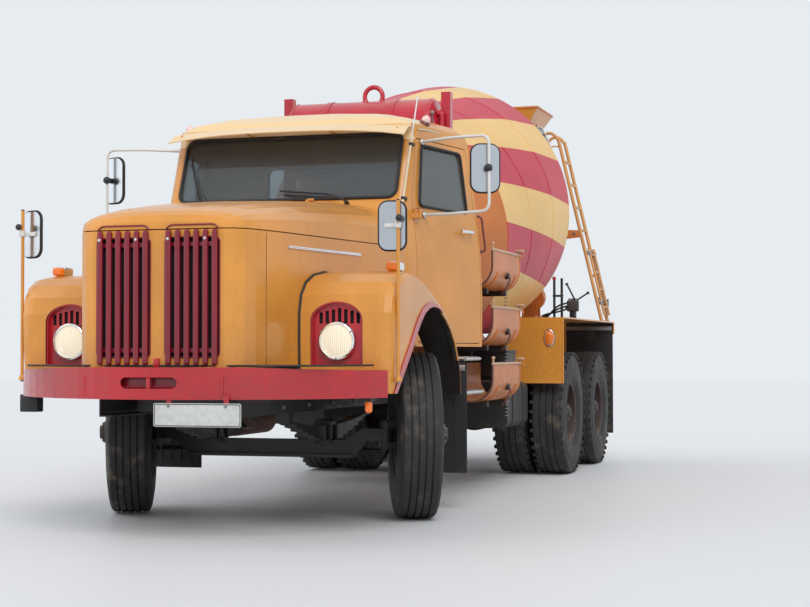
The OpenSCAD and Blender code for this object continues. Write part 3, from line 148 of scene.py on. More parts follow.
class Value:
    """A value in a material. Arithmetic on it adds Math nodes."""

    def __init__(self, graph, socket):
        self.graph = graph
        self.socket = socket

    def step(self, operation, *others):
        return self.graph.maths(operation, self, *others)

    def __add__(self, other):
        return self.step("ADD", other)

    __radd__ = __add__

    def __sub__(self, other):
        return self.step("SUBTRACT", other)

    def __rsub__(self, other):
        return self.graph.maths("SUBTRACT", other, self)

    def __mul__(self, other):
        return self.step("MULTIPLY", other)

    __rmul__ = __mul__

    def __truediv__(self, other):
        return self.step("DIVIDE", other)

    def __abs__(self):
        return self.step("ABSOLUTE")

    def ramp(self, low, high):
        """0 at low, 1 at high and smooth between them."""
        found = self.graph.add("ShaderNodeMapRange", {"interpolation_type": "SMOOTHSTEP"},
                               {"Value": self, "From Min": low, "From Max": high})
        return found["Result"]


class Graph:
    """A material's nodes, written as expressions."""

    def __init__(self, name):
        self.material = bpy.data.materials.new(name)
        self.material.use_nodes = True
        self.tree = self.material.node_tree
        self.shader = self.tree.nodes["Principled BSDF"]
        coordinates = self.add("ShaderNodeTexCoord")
        self.place = coordinates["Object"]
        self.facing = self.split(coordinates["Normal"])
        self.x, self.y, self.z = self.split(self.place)

    def plug(self, socket, value):
        if isinstance(value, Value):
            self.tree.links.new(value.socket, socket)
        elif hasattr(value, "__len__") and socket.type == "RGBA":
            socket.default_value = (*tuple(value)[:3], 1)
        else:
            socket.default_value = value

    def add(self, kind, settings=None, sockets=None):
        """Adds a node with its settings and its sockets' values, and gives back its outputs by name."""
        node = self.tree.nodes.new(kind)
        for key, value in (settings or {}).items():
            setattr(node, key, value)
        for key, value in (sockets or {}).items():
            inputs = {s.name: s for s in node.inputs}
            inputs.update({s.identifier: s for s in node.inputs})
            self.plug(node.inputs[key] if isinstance(key, int) else inputs[key], value)
        outputs = {s.name: Value(self, s) for s in node.outputs}
        outputs.update({s.identifier: Value(self, s) for s in node.outputs})
        return outputs

    def maths(self, operation, *values):
        return self.add("ShaderNodeMath", {"operation": operation}, dict(enumerate(values)))["Value"]

    def split(self, vector):
        parts = self.add("ShaderNodeSeparateXYZ", None, {"Vector": vector})
        return parts["X"], parts["Y"], parts["Z"]

    def noise(self, scale, detail=4.0, rough=0.55, where=None):
        return self.add("ShaderNodeTexNoise", None, {
            "Vector": where or self.place, "Scale": scale, "Detail": detail, "Roughness": rough})["Fac"]

    def stretched(self, scale):
        """Object coordinates scaled by a different amount along each axis."""
        return self.add("ShaderNodeMapping", None, {"Vector": self.place, "Scale": scale})["Vector"]

    def mix(self, first, second, share):
        return self.add("ShaderNodeMix", {"data_type": "RGBA"}, {
            "Factor_Float": share, "A_Color": first, "B_Color": second})["Result_Color"]

    def bump(self, height, distance):
        return self.add("ShaderNodeBump", None, {"Height": height, "Distance": distance})["Normal"]

    def surface(self, **sockets):
        """Sets the shader's sockets. An underscore in a name stands for a space."""
        for key, value in sockets.items():
            self.plug(self.shader.inputs[key.replace("_", " ")], value)
        return self.material


# Finishes


def shade(tone, factor):
    return tuple(min(1, c * factor) for c in tone)


DUST = srgb(176, 160, 138)
GRIME = srgb(58, 46, 38)
STEEL = srgb(150, 148, 145)
RUST = srgb(104, 60, 36)


def painted(name, tone, gloss=0.28, dust=0.2, grime=0.35, coat=0.35, worn=0.0, visor_highlight=None, arch_shade=False):
    """Workaday vehicle paint: slightly mottled, dusty on top, splashed low down and chipped where worn. It
    can also carry a painted highlight on the cab's brim and roof front, and painted shade inside the wheel
    arches.
    """
    g = Graph(name)
    cloud = g.noise(1.7, 5)
    fine = g.noise(26, 6, 0.65)
    streak = g.noise(3.0, 6, 0.6, g.stretched((9, 9, 0.9)))
    ground = g.mix(shade(tone, 0.86), shade(tone, 1.08), cloud.ramp(0.3, 0.7))
    ground = g.mix(ground, shade(tone, 0.72), streak.ramp(0.56, 0.8) * 0.3)
    if visor_highlight:
        # Painted highlight: the brim over the windscreen and the roof's front get the paler highlight colour,
        # for the light from above
        brim = g.y.ramp(AXLE_Y + 0.462, AXLE_Y + 0.450) * g.z.ramp(2.498, 2.503)
        roof = g.y.ramp(AXLE_Y + 0.68, AXLE_Y + 0.66) * g.z.ramp(2.612, 2.618)
        ground = g.mix(ground, visor_highlight, (brim + roof).ramp(0, 1))
    low = g.z.ramp(1.5, 0.55)
    splashed = low * fine.ramp(0.35, 0.72) * grime
    ground = g.mix(ground, GRIME, splashed)
    settled = g.facing[2].ramp(0.45, 1.0) * (cloud + fine).ramp(0.7, 1.3) * dust
    ground = g.mix(ground, DUST, settled)
    if arch_shade:
        # Painted shade: faces that look into the wheel arch, and the inner face of the wing's outer side, are
        # painted near black for the shade inside the arch
        within = g.facing[1] * (g.y - AXLE_Y) + g.facing[2] * (g.z - 0.75)
        across = (abs(g.x) - 0.95) * (g.x * g.facing[0]).step("SIGN") * abs(g.facing[0])
        ground = g.mix(ground, srgb(40, 35, 33), (within + across).ramp(-0.02, -0.05))
    chip = g.noise(55, 5, 0.7).ramp(0.70 - 0.1 * worn, 0.73 - 0.1 * worn) * (worn > 0)
    ground = g.mix(ground, shade(RUST, 0.8), chip * min(1, worn))
    rough = splashed * 0.4 + settled * 0.8 + fine * 0.1 + chip * 0.3 + gloss
    return g.surface(Base_Color=ground, Roughness=rough, Coat_Weight=coat, Coat_Roughness=0.12,
                     Normal=g.bump(g.noise(230, 2) * 0.4 - chip, 0.0006))


def drum_coordinates(g):
    """Distance along the drum's axis, angle round it and radius, as values of a material."""
    back = g.add("ShaderNodeVectorMath", {"operation": "SUBTRACT"}, {0: g.place, 1: DRUM_SEAM})["Vector"]
    along = g.add("ShaderNodeVectorMath", {"operation": "DOT_PRODUCT"}, {0: back, 1: DRUM_AXIS})["Value"]
    up = g.add("ShaderNodeVectorMath", {"operation": "DOT_PRODUCT"}, {0: back, 1: DRUM_UP})["Value"]
    angle = g.maths("ARCTAN2", up, g.x)
    radius = (up * up + g.x * g.x).step("SQRT")
    return along, angle, radius


BAND_ANGLE = math.radians(28.75)
BAND_DISTANCE = 0.5
BAND_SHARE = 0.515
RING_DISTANCE = 2.45


def drum_paint(name):
    """Red bands that wind slowly round a pale drum, dulled by cement dust towards the mouth."""
    g = Graph(name)
    along, angle, radius = drum_coordinates(g)
    pitch = sizes().band_pitch
    turn = (angle + (along - BAND_DISTANCE) * sizes().band_twist - BAND_ANGLE) / pitch
    phase = (turn + 0.5).step("FRACT")
    band = abs(phase - 0.5).ramp(BAND_SHARE / 2 + 0.004, BAND_SHARE / 2 - 0.004)
    cloud = g.noise(1.4, 6, 0.6)
    fine = g.noise(19, 7, 0.68)
    cream = g.mix(shade(colours().cream, 0.9), shade(colours().cream, 1.06), cloud.ramp(0.3, 0.7))
    red = g.mix(shade(colours().bands, 0.85), shade(colours().bands, 1.08), cloud.ramp(0.3, 0.7))
    ground = g.mix(cream, red, band)
    dusty = ((cloud + fine).ramp(0.8, 1.35) * 0.12) + along.ramp(1.6, 3.3) * fine.ramp(0.3, 0.7) * 0.45
    ground = g.mix(ground, DUST, dusty)
    ring = (abs(along - RING_DISTANCE).ramp(0.062, 0.058)) * (radius.ramp(0.968, 0.972))
    ground = g.mix(ground, shade(STEEL, 0.6), ring)
    rough = dusty * 0.5 + fine * 0.12 + 0.38
    height = fine * 0.6 + g.noise(150, 3) * 0.2
    return g.surface(Base_Color=ground, Metallic=ring * 0.9, Roughness=rough, Coat_Weight=0.1,
                     Coat_Roughness=0.2, Normal=g.bump(height, 0.0008))


def rubber(name, tone, dust=0.35, grain=180):
    g = Graph(name)
    cloud = g.noise(6, 6, 0.65)
    fine = g.noise(grain, 4, 0.7)
    ground = g.mix(shade(tone, 0.8), shade(tone, 1.25), cloud)
    ground = g.mix(ground, shade(DUST, 0.55), cloud.ramp(0.52, 0.72) * dust)
    return g.surface(Base_Color=ground, Roughness=fine * 0.25 + 0.58, Normal=g.bump(fine + cloud, 0.0007))


def metal(name, tone, rough=0.3, tarnish=0.3, grain=90):
    g = Graph(name)
    cloud = g.noise(9, 6, 0.6)
    fine = g.noise(grain, 5, 0.6, g.stretched((1, 1, 6)))
    ground = g.mix(tone, shade(RUST, 0.7), cloud.ramp(0.56, 0.78) * tarnish)
    return g.surface(Base_Color=ground, Metallic=1 - cloud.ramp(0.6, 0.8) * tarnish * 0.7,
                     Roughness=fine * 0.16 + cloud * 0.12 + rough, Normal=g.bump(fine, 0.0002))


def chrome(name):
    g = Graph(name)
    smear = g.noise(14, 6, 0.7)
    return g.surface(Base_Color=g.mix((0.82, 0.83, 0.85), (0.6, 0.6, 0.6), smear.ramp(0.55, 0.8) * 0.5),
                     Metallic=1.0, Roughness=smear * 0.14 + 0.04, Normal=g.bump(smear, 0.0001))


def window(name, tone):
    g = Graph(name)
    film = g.noise(5, 6, 0.6)
    return g.surface(Base_Color=g.mix(tone, shade(tone, 0.85), film), Transmission_Weight=0.9,
                     IOR=1.45, Roughness=film.ramp(0.5, 0.8) * 0.05 + 0.015,
                     Normal=g.bump(film, 0.0002))


def lens(name, tone, glow=0.0, through=0.35):
    g = Graph(name)
    flute = (g.x * 520).step("SINE")
    ground = g.mix(tone, shade(tone, 0.75), flute.ramp(-0.2, 1.0) * 0.5)
    return g.surface(Base_Color=ground, Roughness=flute * 0.02 + 0.1, Transmission_Weight=through,
                     Emission_Color=ground, Emission_Strength=glow, Coat_Weight=0.6,
                     Normal=g.bump(flute, 0.0008))


def plastic(name, tone, rough=0.45):
    g = Graph(name)
    pebble = g.noise(420, 3, 0.5)
    cloud = g.noise(7, 4)
    return g.surface(Base_Color=g.mix(shade(tone, 0.85), shade(tone, 1.2), cloud),
                     Roughness=cloud * 0.15 + rough, Normal=g.bump(pebble, 0.0004))


def woven(name, tone):
    """Ribbed seat cloth."""
    g = Graph(name)
    rib = (g.x * 1500).step("SINE")
    weft = (g.y * 900 + g.z * 900).step("SINE")
    weave = rib * 0.5 + weft * 0.3
    return g.surface(Base_Color=g.mix(shade(tone, 0.7), shade(tone, 1.3), weave.ramp(-0.6, 0.7)),
                     Roughness=g.noise(30, 3) * 0.1 + 0.8, Sheen_Weight=0.3, Normal=g.bump(weave, 0.0009))


def insect_screen(name, tone):
    """Fine woven wire."""
    g = Graph(name)
    wires = (g.x * 1300).step("SINE") * (g.z * 1300).step("SINE")
    return g.surface(Base_Color=g.mix(shade(tone, 0.4), shade(tone, 1.7), wires.ramp(-0.2, 0.5)),
                     Metallic=0.4, Roughness=g.noise(8) * 0.2 + 0.45, Normal=g.bump(wires, 0.0008))


# Finish names, each with its maker and the record's material slot
FINISHES = {}


def make_finishes():
    c = colours()
    FINISHES.update({
        "body": (painted("body_paint", c.body, dust=0.12, grime=0.22), "body_yellow"),
        # The wings' paint carries painted shade inside the wheel arches
        "wing": (painted("wing_paint_arch_shade", c.body, dust=0.12, grime=0.22, arch_shade=True), "body_yellow"),
        "mixer": (painted("mixer_paint", c.mixer, 0.4, 0.35, 0.45, 0.15, 0.35), "mixer_orange"),
        "drum": (drum_paint("drum_paint"), "drum_cream"),
        "bumper": (painted("bumper_paint", c.bumper, 0.24, 0.1, 0.3, 0.5), "bumper_red"),
        "grille": (painted("grille_paint", c.grille, 0.26, 0.1, 0.15), "grille_red"),
        "tank": (painted("tank_paint", c.tank, 0.24, 0.22, 0.2, 0.5), "tank_red"),
        "chassis": (painted("chassis_paint", c.chassis, 0.45, 0.45, 0.5, 0.1, 0.25), "chassis_black"),
        "casting": (painted("casting", srgb(62, 60, 58), 0.6, 0.4, 0.5, 0.0, 0.5), "cast_grey"),
        # Painted shade: the rims are dusty, and the shade they sit in behind the tyres is painted into their
        # colour, far darker than their orange
        "rim": (painted("rim_paint_shaded", srgb(60, 47, 42), 0.5, 0.3, 0.6, 0.1, 0.3), "rim_orange"),
        "white": (painted("white_paint", srgb(214, 214, 210), 0.28, 0.1, 0.15), "white_trim"),
        "ladder": (painted("ladder_paint", srgb(206, 152, 92), 0.4, 0.3, 0.3, 0.1, 0.5), "ladder_steel"),
        "plastic": (plastic("black_plastic", srgb(36, 36, 38)), "black_plastic"),
        "tyre": (rubber("tyre_rubber", c.rubber, 0.4), "tyre_black"),
        "rubber": (rubber("seal_rubber", shade(c.rubber, 0.8), 0.15), "flap_rubber"),
        "chrome": (chrome("chrome"), "chrome_trim"),
        "steel": (metal("worn_steel", STEEL, 0.32, 0.35), "ladder_steel"),
        "bright": (metal("bright_steel", srgb(196, 196, 196), 0.2, 0.1), "chrome_trim"),
        "glass": (window("window_glass", (0.45, 0.52, 0.54)), "window_glass"),
        "mirror": (chrome("mirror_glass"), "lamp_glass"),
        "headlight": (lens("headlight_lens", srgb(232, 224, 202), 0.38, 0.2), "lamp_glass"),
        "amber": (lens("amber_lens", srgb(236, 122, 18), 0.25), "lamp_glass"),
        "red_lens": (lens("red_lens", srgb(190, 16, 18), 0.12), "lamp_red"),
        "pale_lens": (lens("pale_lens", srgb(238, 206, 200), 0.2), "lamp_glass"),
        "seat": (woven("seat_cloth", c.seat), "black_plastic"),
        "lining": (plastic("cab_lining", srgb(92, 78, 66), 0.6), "black_plastic"),
        "screen": (insect_screen("insect_screen", srgb(24, 21, 23)), "black_plastic"),
        "arch": (painted("arch_paint", c.bumper, 0.24, 0.05, 0.3, 0.5), "bumper_red"),
        "gutter": (painted("gutter_paint", srgb(214, 196, 160), 0.3, 0.1, 0.1), "white_trim"),
        "hinge": (painted("hinge_paint", srgb(112, 48, 34), 0.35, 0.1, 0.2), "grille_red"),
        "polished": (metal("polished_metal", srgb(190, 195, 200), 0.08, 0.05), "chrome_trim"),
        "rusty": (painted("rusty_steel", srgb(96, 58, 46), 0.55, 0.25, 0.3, 0.0, 0.8), "chassis_black"),
        "pale_bar": (painted("pale_bar_paint", srgb(196, 158, 124), 0.4, 0.15, 0.2, 0.1, 0.4),
                     "ladder_steel"),
        # The cab's paint carries the painted highlight on the brim and the roof's front
        "cab": (painted("cab_paint_lit_visor", c.body, dust=0.12, grime=0.22, visor_highlight=c.visor_highlight), "body_yellow"),
        "plate": (painted("plate_paint", srgb(206, 208, 204), 0.4, 0.1, 0.2, 0.1), "white_trim"),
    })


CAD_FINISHES = {
    "chassis": ("chassis_frame", "engine", "prop_shafts", "front_axle", "rear_bogie", "knuckle_left",
                "knuckle_right", "tie_rod", "cab_steps", "chute_rack", "side_tanks"),
    "casting": ("radiator",),
    "mixer": ("mixer_frame", "drum_front", "drum_blades", "discharge_collector",
              "chute_swivel", "chute", "spare_chutes"),
    "bumper": ("front_bumper", "rear_lamps", "headlight_panels"),
    "tyre": ("front_tyre_left", "front_tyre_right", "first_rear_tyres_left", "first_rear_tyres_right",
             "second_rear_tyres_left", "second_rear_tyres_right"),
    "rim": ("front_rim_left", "front_rim_right", "first_rear_rims_left", "first_rear_rims_right",
            "second_rear_rims_left", "second_rear_rims_right"),
    "cab": ("cab_shell",),
    "wing": ("front_wings",),
    "body": ("nose_and_sides", "bonnet_lid", "door_left", "door_right",
             "rear_mudguards", "charge_hopper"),
    "grille": ("grille_bars",),
    "chrome": ("headlights",),
    "plastic": ("cab_interior",),
    "white": ("wing_mirrors", "door_mirror_left", "door_mirror_right"),
    "glass": ("cab_glass", "door_glass_left", "door_glass_right"),
    "tank": ("water_tank", "tank_stand"),
    "drum": ("drum_shell", "drum_rear"),
    "ladder": ("ladder",),
    "rubber": ("mud_flaps",),
}


# Modelling


# Curved sheet metal that is shaded as smooth as it was pressed
PRESSED_SHEETS = ("nose_and_sides", "bonnet_lid", "front_wings", "cab_shell", "door_left", "door_right",
                  "front_bumper", "spare_chutes", "discharge_collector", "drum_front")
PRESSED_ANGLE = 42


def select_only(*pieces):
    bpy.ops.object.select_all(action="DESELECT")
    for piece in pieces:
        piece.select_set(True)
    bpy.context.view_layer.objects.active = pieces[-1]


def named(name, piece=None):
    """Names a piece, or else the one that was just added."""
    piece = piece or bpy.context.active_object
    piece.name = name
    piece.data.name = name
    return piece


def settle(piece):
    """Applies a piece's place, turn and scale to its mesh, so its object sits at the origin."""
    select_only(piece)
    bpy.ops.object.transform_apply(location=True, rotation=True, scale=True)
    return piece


def edit(piece):
    select_only(piece)
    bpy.ops.object.mode_set(mode="EDIT")
    bpy.ops.mesh.select_all(action="SELECT")


def leave():
    bpy.ops.object.mode_set(mode="OBJECT")


def outwards(piece):
    """Merges doubles and turns every face outwards."""
    edit(piece)
    bpy.ops.mesh.remove_doubles(threshold=0.00002)
    bpy.ops.mesh.normals_make_consistent(inside=False)
    leave()
    return piece


def smooth(piece, angle=35):
    select_only(piece)
    bpy.ops.object.shade_smooth_by_angle(angle=math.radians(angle))
    return piece


def pick_faces(piece, test):
    """Selects, in edit mode, the faces whose middle and normal pass the test."""
    mesh = bmesh.from_edit_mesh(piece.data)
    for face in mesh.faces:
        face.select_set(bool(test(face.calc_center_median(), face.normal)))
    mesh.select_flush_mode()
    bmesh.update_edit_mesh(piece.data)


def modified(piece, kind, **settings):
    """Adds a modifier, sets it and applies it."""
    select_only(piece)
    modifier = piece.modifiers.new(kind, kind)
    for key, value in settings.items():
        setattr(modifier, key, value)
    bpy.ops.object.modifier_apply(modifier=modifier.name)
    return piece


def dressed(piece, finish, body="chassis"):
    """Gives a finished piece its material and the body that it rides on."""
    material, slot = FINISHES[finish]
    piece.data.materials.clear()
    piece.data.materials.append(material)
    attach(piece, body)
    return piece


def joined(name, pieces):
    """Makes one piece of several."""
    if len(pieces) > 1:
        select_only(*pieces)
        bpy.ops.object.join()
    return named(name, pieces[-1])


def copies(piece, name, places):
    """One piece made of a copy of the given piece at each place, which is a matrix. The original goes."""
    made = []
    for place in places:
        twin = piece.copy()
        twin.data = piece.data.copy()
        bpy.context.collection.objects.link(twin)
        twin.matrix_world = place
        made.append(settle(twin))
    bpy.data.objects.remove(piece)
    return outwards(joined(name, made))


def turned_to(direction, place=(0, 0, 0), spin=0.0):
    """A matrix that sends +Z to a direction and the origin to a place."""
    turn = Vector(direction).to_track_quat("Z", "Y").to_matrix().to_4x4()
    return Matrix.Translation(place) @ turn @ Matrix.Rotation(spin, 4, "Z")


def block(name, low, high, bevel=0.004, segments=2):
    """A box with eased edges."""
    low, high = Vector(low), Vector(high)
    bpy.ops.object.select_all(action="DESELECT")
    bpy.ops.mesh.primitive_cube_add(size=1, location=(low + high) / 2)
    piece = named(name)
    piece.scale = high - low
    settle(piece)
    if bevel:
        edit(piece)
        bpy.ops.mesh.bevel(offset=bevel, segments=segments, affect="EDGES")
        leave()
    return smooth(piece)


def turned(name, rings, place=(0, 0, 0), direction=UP, sides=48, closed=False, filled=True, angle=35):
    """A turned piece: a circle extruded and resized through rings of radius and distance."""
    radius, distance = rings[0]
    fill = "NGON" if filled and not closed else "NOTHING"
    bpy.ops.object.select_all(action="DESELECT")
    bpy.ops.mesh.primitive_circle_add(vertices=sides, radius=radius, fill_type=fill, location=(0, 0, 0))
    piece = named(name)
    edit(piece)
    bpy.ops.transform.translate(value=(0, 0, distance))
    for next_radius, next_distance in rings[1:] + (rings[:1] if closed else []):
        bpy.ops.mesh.extrude_region_move(
            TRANSFORM_OT_translate={"value": (0, 0, next_distance - distance)})
        ratio = next_radius / radius
        bpy.ops.transform.resize(value=(ratio, ratio, 1), center_override=(0, 0, next_distance))
        radius, distance = next_radius, next_distance
    leave()
    piece.matrix_world = turned_to(direction, place)
    settle(piece)
    return smooth(outwards(piece), angle)


def rounded_path(points, radius, steps=5):
    """The points with each inner corner replaced by a short curve."""
    points = [Vector(p) for p in points]
    path = [points[0]]
    for before, corner, after in zip(points, points[1:], points[2:]):
        reach = min(radius, (before - corner).length * 0.49, (after - corner).length * 0.49)
        start = corner + (before - corner).normalized() * reach
        end = corner + (after - corner).normalized() * reach
        for i in range(steps + 1):
            t = i / steps
            path.append(start.lerp(corner, t).lerp(corner.lerp(end, t), t))
    return path + [points[-1]]


def tube(name, points, radius, bend=0.03, sides=4, cyclic=False):
    """A round bar or pipe along a path with rounded corners."""
    path = rounded_path(points, bend) if bend and len(points) > 2 else [Vector(p) for p in points]
    bpy.ops.object.select_all(action="DESELECT")
    bpy.ops.curve.primitive_bezier_curve_add(location=(0, 0, 0))
    piece = named(name)
    curve = piece.data
    curve.splines.clear()
    line = curve.splines.new("POLY")
    line.points.add(len(path) - 1)
    for point, place in zip(line.points, path):
        point.co = (*place, 1)
    line.use_cyclic_u = cyclic
    curve.bevel_depth = radius
    curve.bevel_resolution = sides
    curve.use_fill_caps = True
    select_only(piece)
    bpy.ops.object.convert(target="MESH")
    return smooth(outwards(named(name)), 50)


def plate(name, outline, thickness, place=(0, 0, 0), across=LEFT, up=UP, edge=0.0):
    """A flat piece cut to an outline. Its outline is drawn along across and up, and its back is at place."""
    bpy.ops.object.select_all(action="DESELECT")
    bpy.ops.curve.primitive_bezier_curve_add(location=(0, 0, 0))
    piece = named(name)
    curve = piece.data
    curve.splines.clear()
    curve.dimensions = "2D"
    curve.fill_mode = "BOTH"
    line = curve.splines.new("POLY")
    line.points.add(len(outline) - 1)
    for point, (u, v) in zip(line.points, outline):
        point.co = (u, v, 0, 1)
    line.use_cyclic_u = True
    curve.extrude = thickness / 2 - edge
    curve.bevel_depth = edge
    curve.bevel_resolution = 1 if edge else 0
    curve.offset = -edge
    select_only(piece)
    bpy.ops.object.convert(target="MESH")
    piece = named(name)
    across, up = Vector(across), Vector(up)
    out = across.cross(up)
    turn = Matrix((across, up, out)).transposed().to_4x4()
    piece.matrix_world = Matrix.Translation(Vector(place) + out * thickness / 2) @ turn
    settle(piece)
    return smooth(outwards(piece), 30)


def arc_points(centre, radius, start, end, steps):
    """Points of an arc, its angles in degrees."""
    turns = [math.radians(start + (end - start) * i / steps) for i in range(steps + 1)]
    return [(centre[0] + radius * math.cos(a), centre[1] + radius * math.sin(a)) for a in turns]


def round_box(width, height, radius, steps=5):
    """Outline of a rectangle with rounded corners about its middle."""
    w, h = width / 2 - radius, height / 2 - radius
    return (arc_points((w, h), radius, 0, 90, steps) + arc_points((-w, h), radius, 90, 180, steps)
            + arc_points((-w, -h), radius, 180, 270, steps) + arc_points((w, -h), radius, 270, 360, steps))


def hex_bolt(width=None):
    """A hexagon head on its washer, standing on the origin along +Z."""
    width = width or sizes().bolt

    def scaled(*rings):
        return [(width * radius, width * distance) for radius, distance in rings]

    washer = turned("washer", scaled((0.72, 0), (0.72, 0.1), (0.66, 0.14)), sides=14)
    head = turned("head", scaled((0.56, 0.1), (0.56, 0.5), (0.46, 0.6)), sides=6, angle=20)
    return joined("bolt", [washer, head])


def bolts(name, places, finish="steel", body="chassis", width=None):
    """Bolt heads at places, each a point and the direction it faces."""
    made = copies(hex_bolt(width), name, [turned_to(out, place) for place, out in places])
    return dressed(smooth(made, 25), finish, body)


class PieceOperator(bpy.types.Operator):
    """Base of the operators that each make one piece or a group of like pieces"""
    bl_options = {"REGISTER", "UNDO"}

    def execute(self, context):
        self.make()
        return {"FINISHED"}


# Camera, light and floor

CAMERA_PLACE = (3.978, -12.635, 1.073)
CAMERA_YAW = math.radians(16.637)
CAMERA_PITCH = math.radians(1.654)
CAMERA_ROLL = math.radians(0.08)
CAMERA_LENS = 73.62
# Name, turn in degrees, strength, and spread in degrees of each distant lamp
SUNS = (("key_light", (48, 0, 30), 1.75, 35), ("fill_light", (60, 0, -75), 0.7, 60))
FLOOR_SIZE, FLOOR_Z = 90, -0.002
FLOOR_COLOUR = (0.72, 0.73, 0.74)
LIGHT_COLOUR, LIGHT_STRENGTH = (0.93, 0.96, 1.0, 1), 0.62
BACKGROUND_COLOUR = (0.8, 0.84, 0.88, 1)


class TRUCK_OT_stage(PieceOperator):
    """Camera, lamps, pale floor and background"""
    bl_idname = "truck.stage"
    bl_label = "Stage"

    def make(self):
        bpy.ops.object.camera_add(location=CAMERA_PLACE,
                                  rotation=(math.pi / 2 + CAMERA_PITCH, CAMERA_ROLL, CAMERA_YAW))
        camera = bpy.context.active_object
        camera.name = "camera"
        camera.data.lens = CAMERA_LENS
        camera.data.sensor_width = 36
        camera.data.clip_end = 200
        bpy.context.scene.camera = camera
        for name, turn, strength, spread in SUNS:
            bpy.ops.object.light_add(type="SUN", rotation=[math.radians(a) for a in turn])
            lamp = bpy.context.active_object
            lamp.name = name
            lamp.data.energy = strength
            lamp.data.angle = math.radians(spread)
        bpy.ops.object.select_all(action="DESELECT")
        bpy.ops.mesh.primitive_plane_add(size=FLOOR_SIZE, location=(0, 0, FLOOR_Z))
        floor = named("floor")
        g = Graph("floor")
        g.surface(Base_Color=FLOOR_COLOUR, Roughness=0.55)
        floor.data.materials.append(g.material)
        self.light_world()

    def light_world(self):
        """Even white light, with a background that the camera, gloss and glass all see."""
        world = bpy.data.worlds.new("studio")
        bpy.context.scene.world = world
        world.use_nodes = True
        tree = world.node_tree
        lit = tree.nodes["Background"]
        lit.inputs["Color"].default_value = LIGHT_COLOUR
        lit.inputs["Strength"].default_value = LIGHT_STRENGTH
        seen = tree.nodes.new("ShaderNodeBackground")
        seen.inputs["Color"].default_value = BACKGROUND_COLOUR
        seen.inputs["Strength"].default_value = 1.0
        path = tree.nodes.new("ShaderNodeLightPath")
        total = path.outputs["Is Camera Ray"]
        for output in ("Is Glossy Ray", "Is Transmission Ray"):
            step = tree.nodes.new("ShaderNodeMath")
            step.operation = "ADD"
            tree.links.new(total, step.inputs[0])
            tree.links.new(path.outputs[output], step.inputs[1])
            total = step.outputs[0]
        mix = tree.nodes.new("ShaderNodeMixShader")
        tree.links.new(total, mix.inputs[0])
        tree.links.new(lit.outputs[0], mix.inputs[1])
        tree.links.new(seen.outputs[0], mix.inputs[2])
        tree.links.new(mix.outputs[0], tree.nodes["World Output"].inputs["Surface"])


class TRUCK_OT_finishes(PieceOperator):
    """Finishes of the CAD nodes"""
    bl_idname = "truck.finishes"
    bl_label = "Finishes"

    def make(self):
        make_finishes()
        for finish, nodes in CAD_FINISHES.items():
            for name in nodes:
                node = NODES[name]
                if not node.material_slots:
                    node.data.materials.append(None)
                for slot in node.material_slots:
                    slot.material = FINISHES[finish][0]
        for name in PRESSED_SHEETS:
            smooth(NODES[name], PRESSED_ANGLE)


# Tyres

TYRE_WIDTH = 0.285
BEAD_RADIUS = 0.275
TYRE_SIDES = 96
LUGS = 40


def tyre_profile(ribs):
    """Rings of a tyre from its inner bead over the tread to its outer bead, and back inside."""
    radius = TYRE_RADIUS - 0.001
    depth = sizes().groove
    half = TYRE_WIDTH / 2
    rings = [(BEAD_RADIUS - 0.012, -half + 0.036), (BEAD_RADIUS, -half + 0.018), (0.30, -half + 0.008),
             (0.315, -half + 0.001), (0.325, -half + 0.004), (0.40, -half), (0.432, -half),
             (0.436, -half + 0.004), (0.47, -half + 0.006), (radius - 0.040, -half + 0.010),
             (radius - 0.018, -half + 0.018)]
    pitch = (TYRE_WIDTH - 0.062) / ribs
    start = -half + 0.031
    for i in range(ribs):
        left = start + i * pitch
        crown = radius - 0.004 * abs(2 * (i + 0.5) / ribs - 1)
        if i:
            rings += [(crown - depth, left - 0.0035), (crown - depth, left + 0.0035)]
        rings += [(crown - 0.001, left + (0.006 if i else 0.001)), (crown, left + pitch / 2),
                  (crown - 0.001, left + pitch - (0.006 if i < ribs - 1 else 0.001))]
    rings += [(r, -z) for r, z in reversed(rings[:11])]
    inner = [(BEAD_RADIUS + 0.03, half - 0.05), (0.42, half - 0.018), (radius - 0.05, half - 0.06),
             (radius - 0.05, -half + 0.06), (0.42, -half + 0.018), (BEAD_RADIUS + 0.03, -half + 0.05)]
    return rings + inner


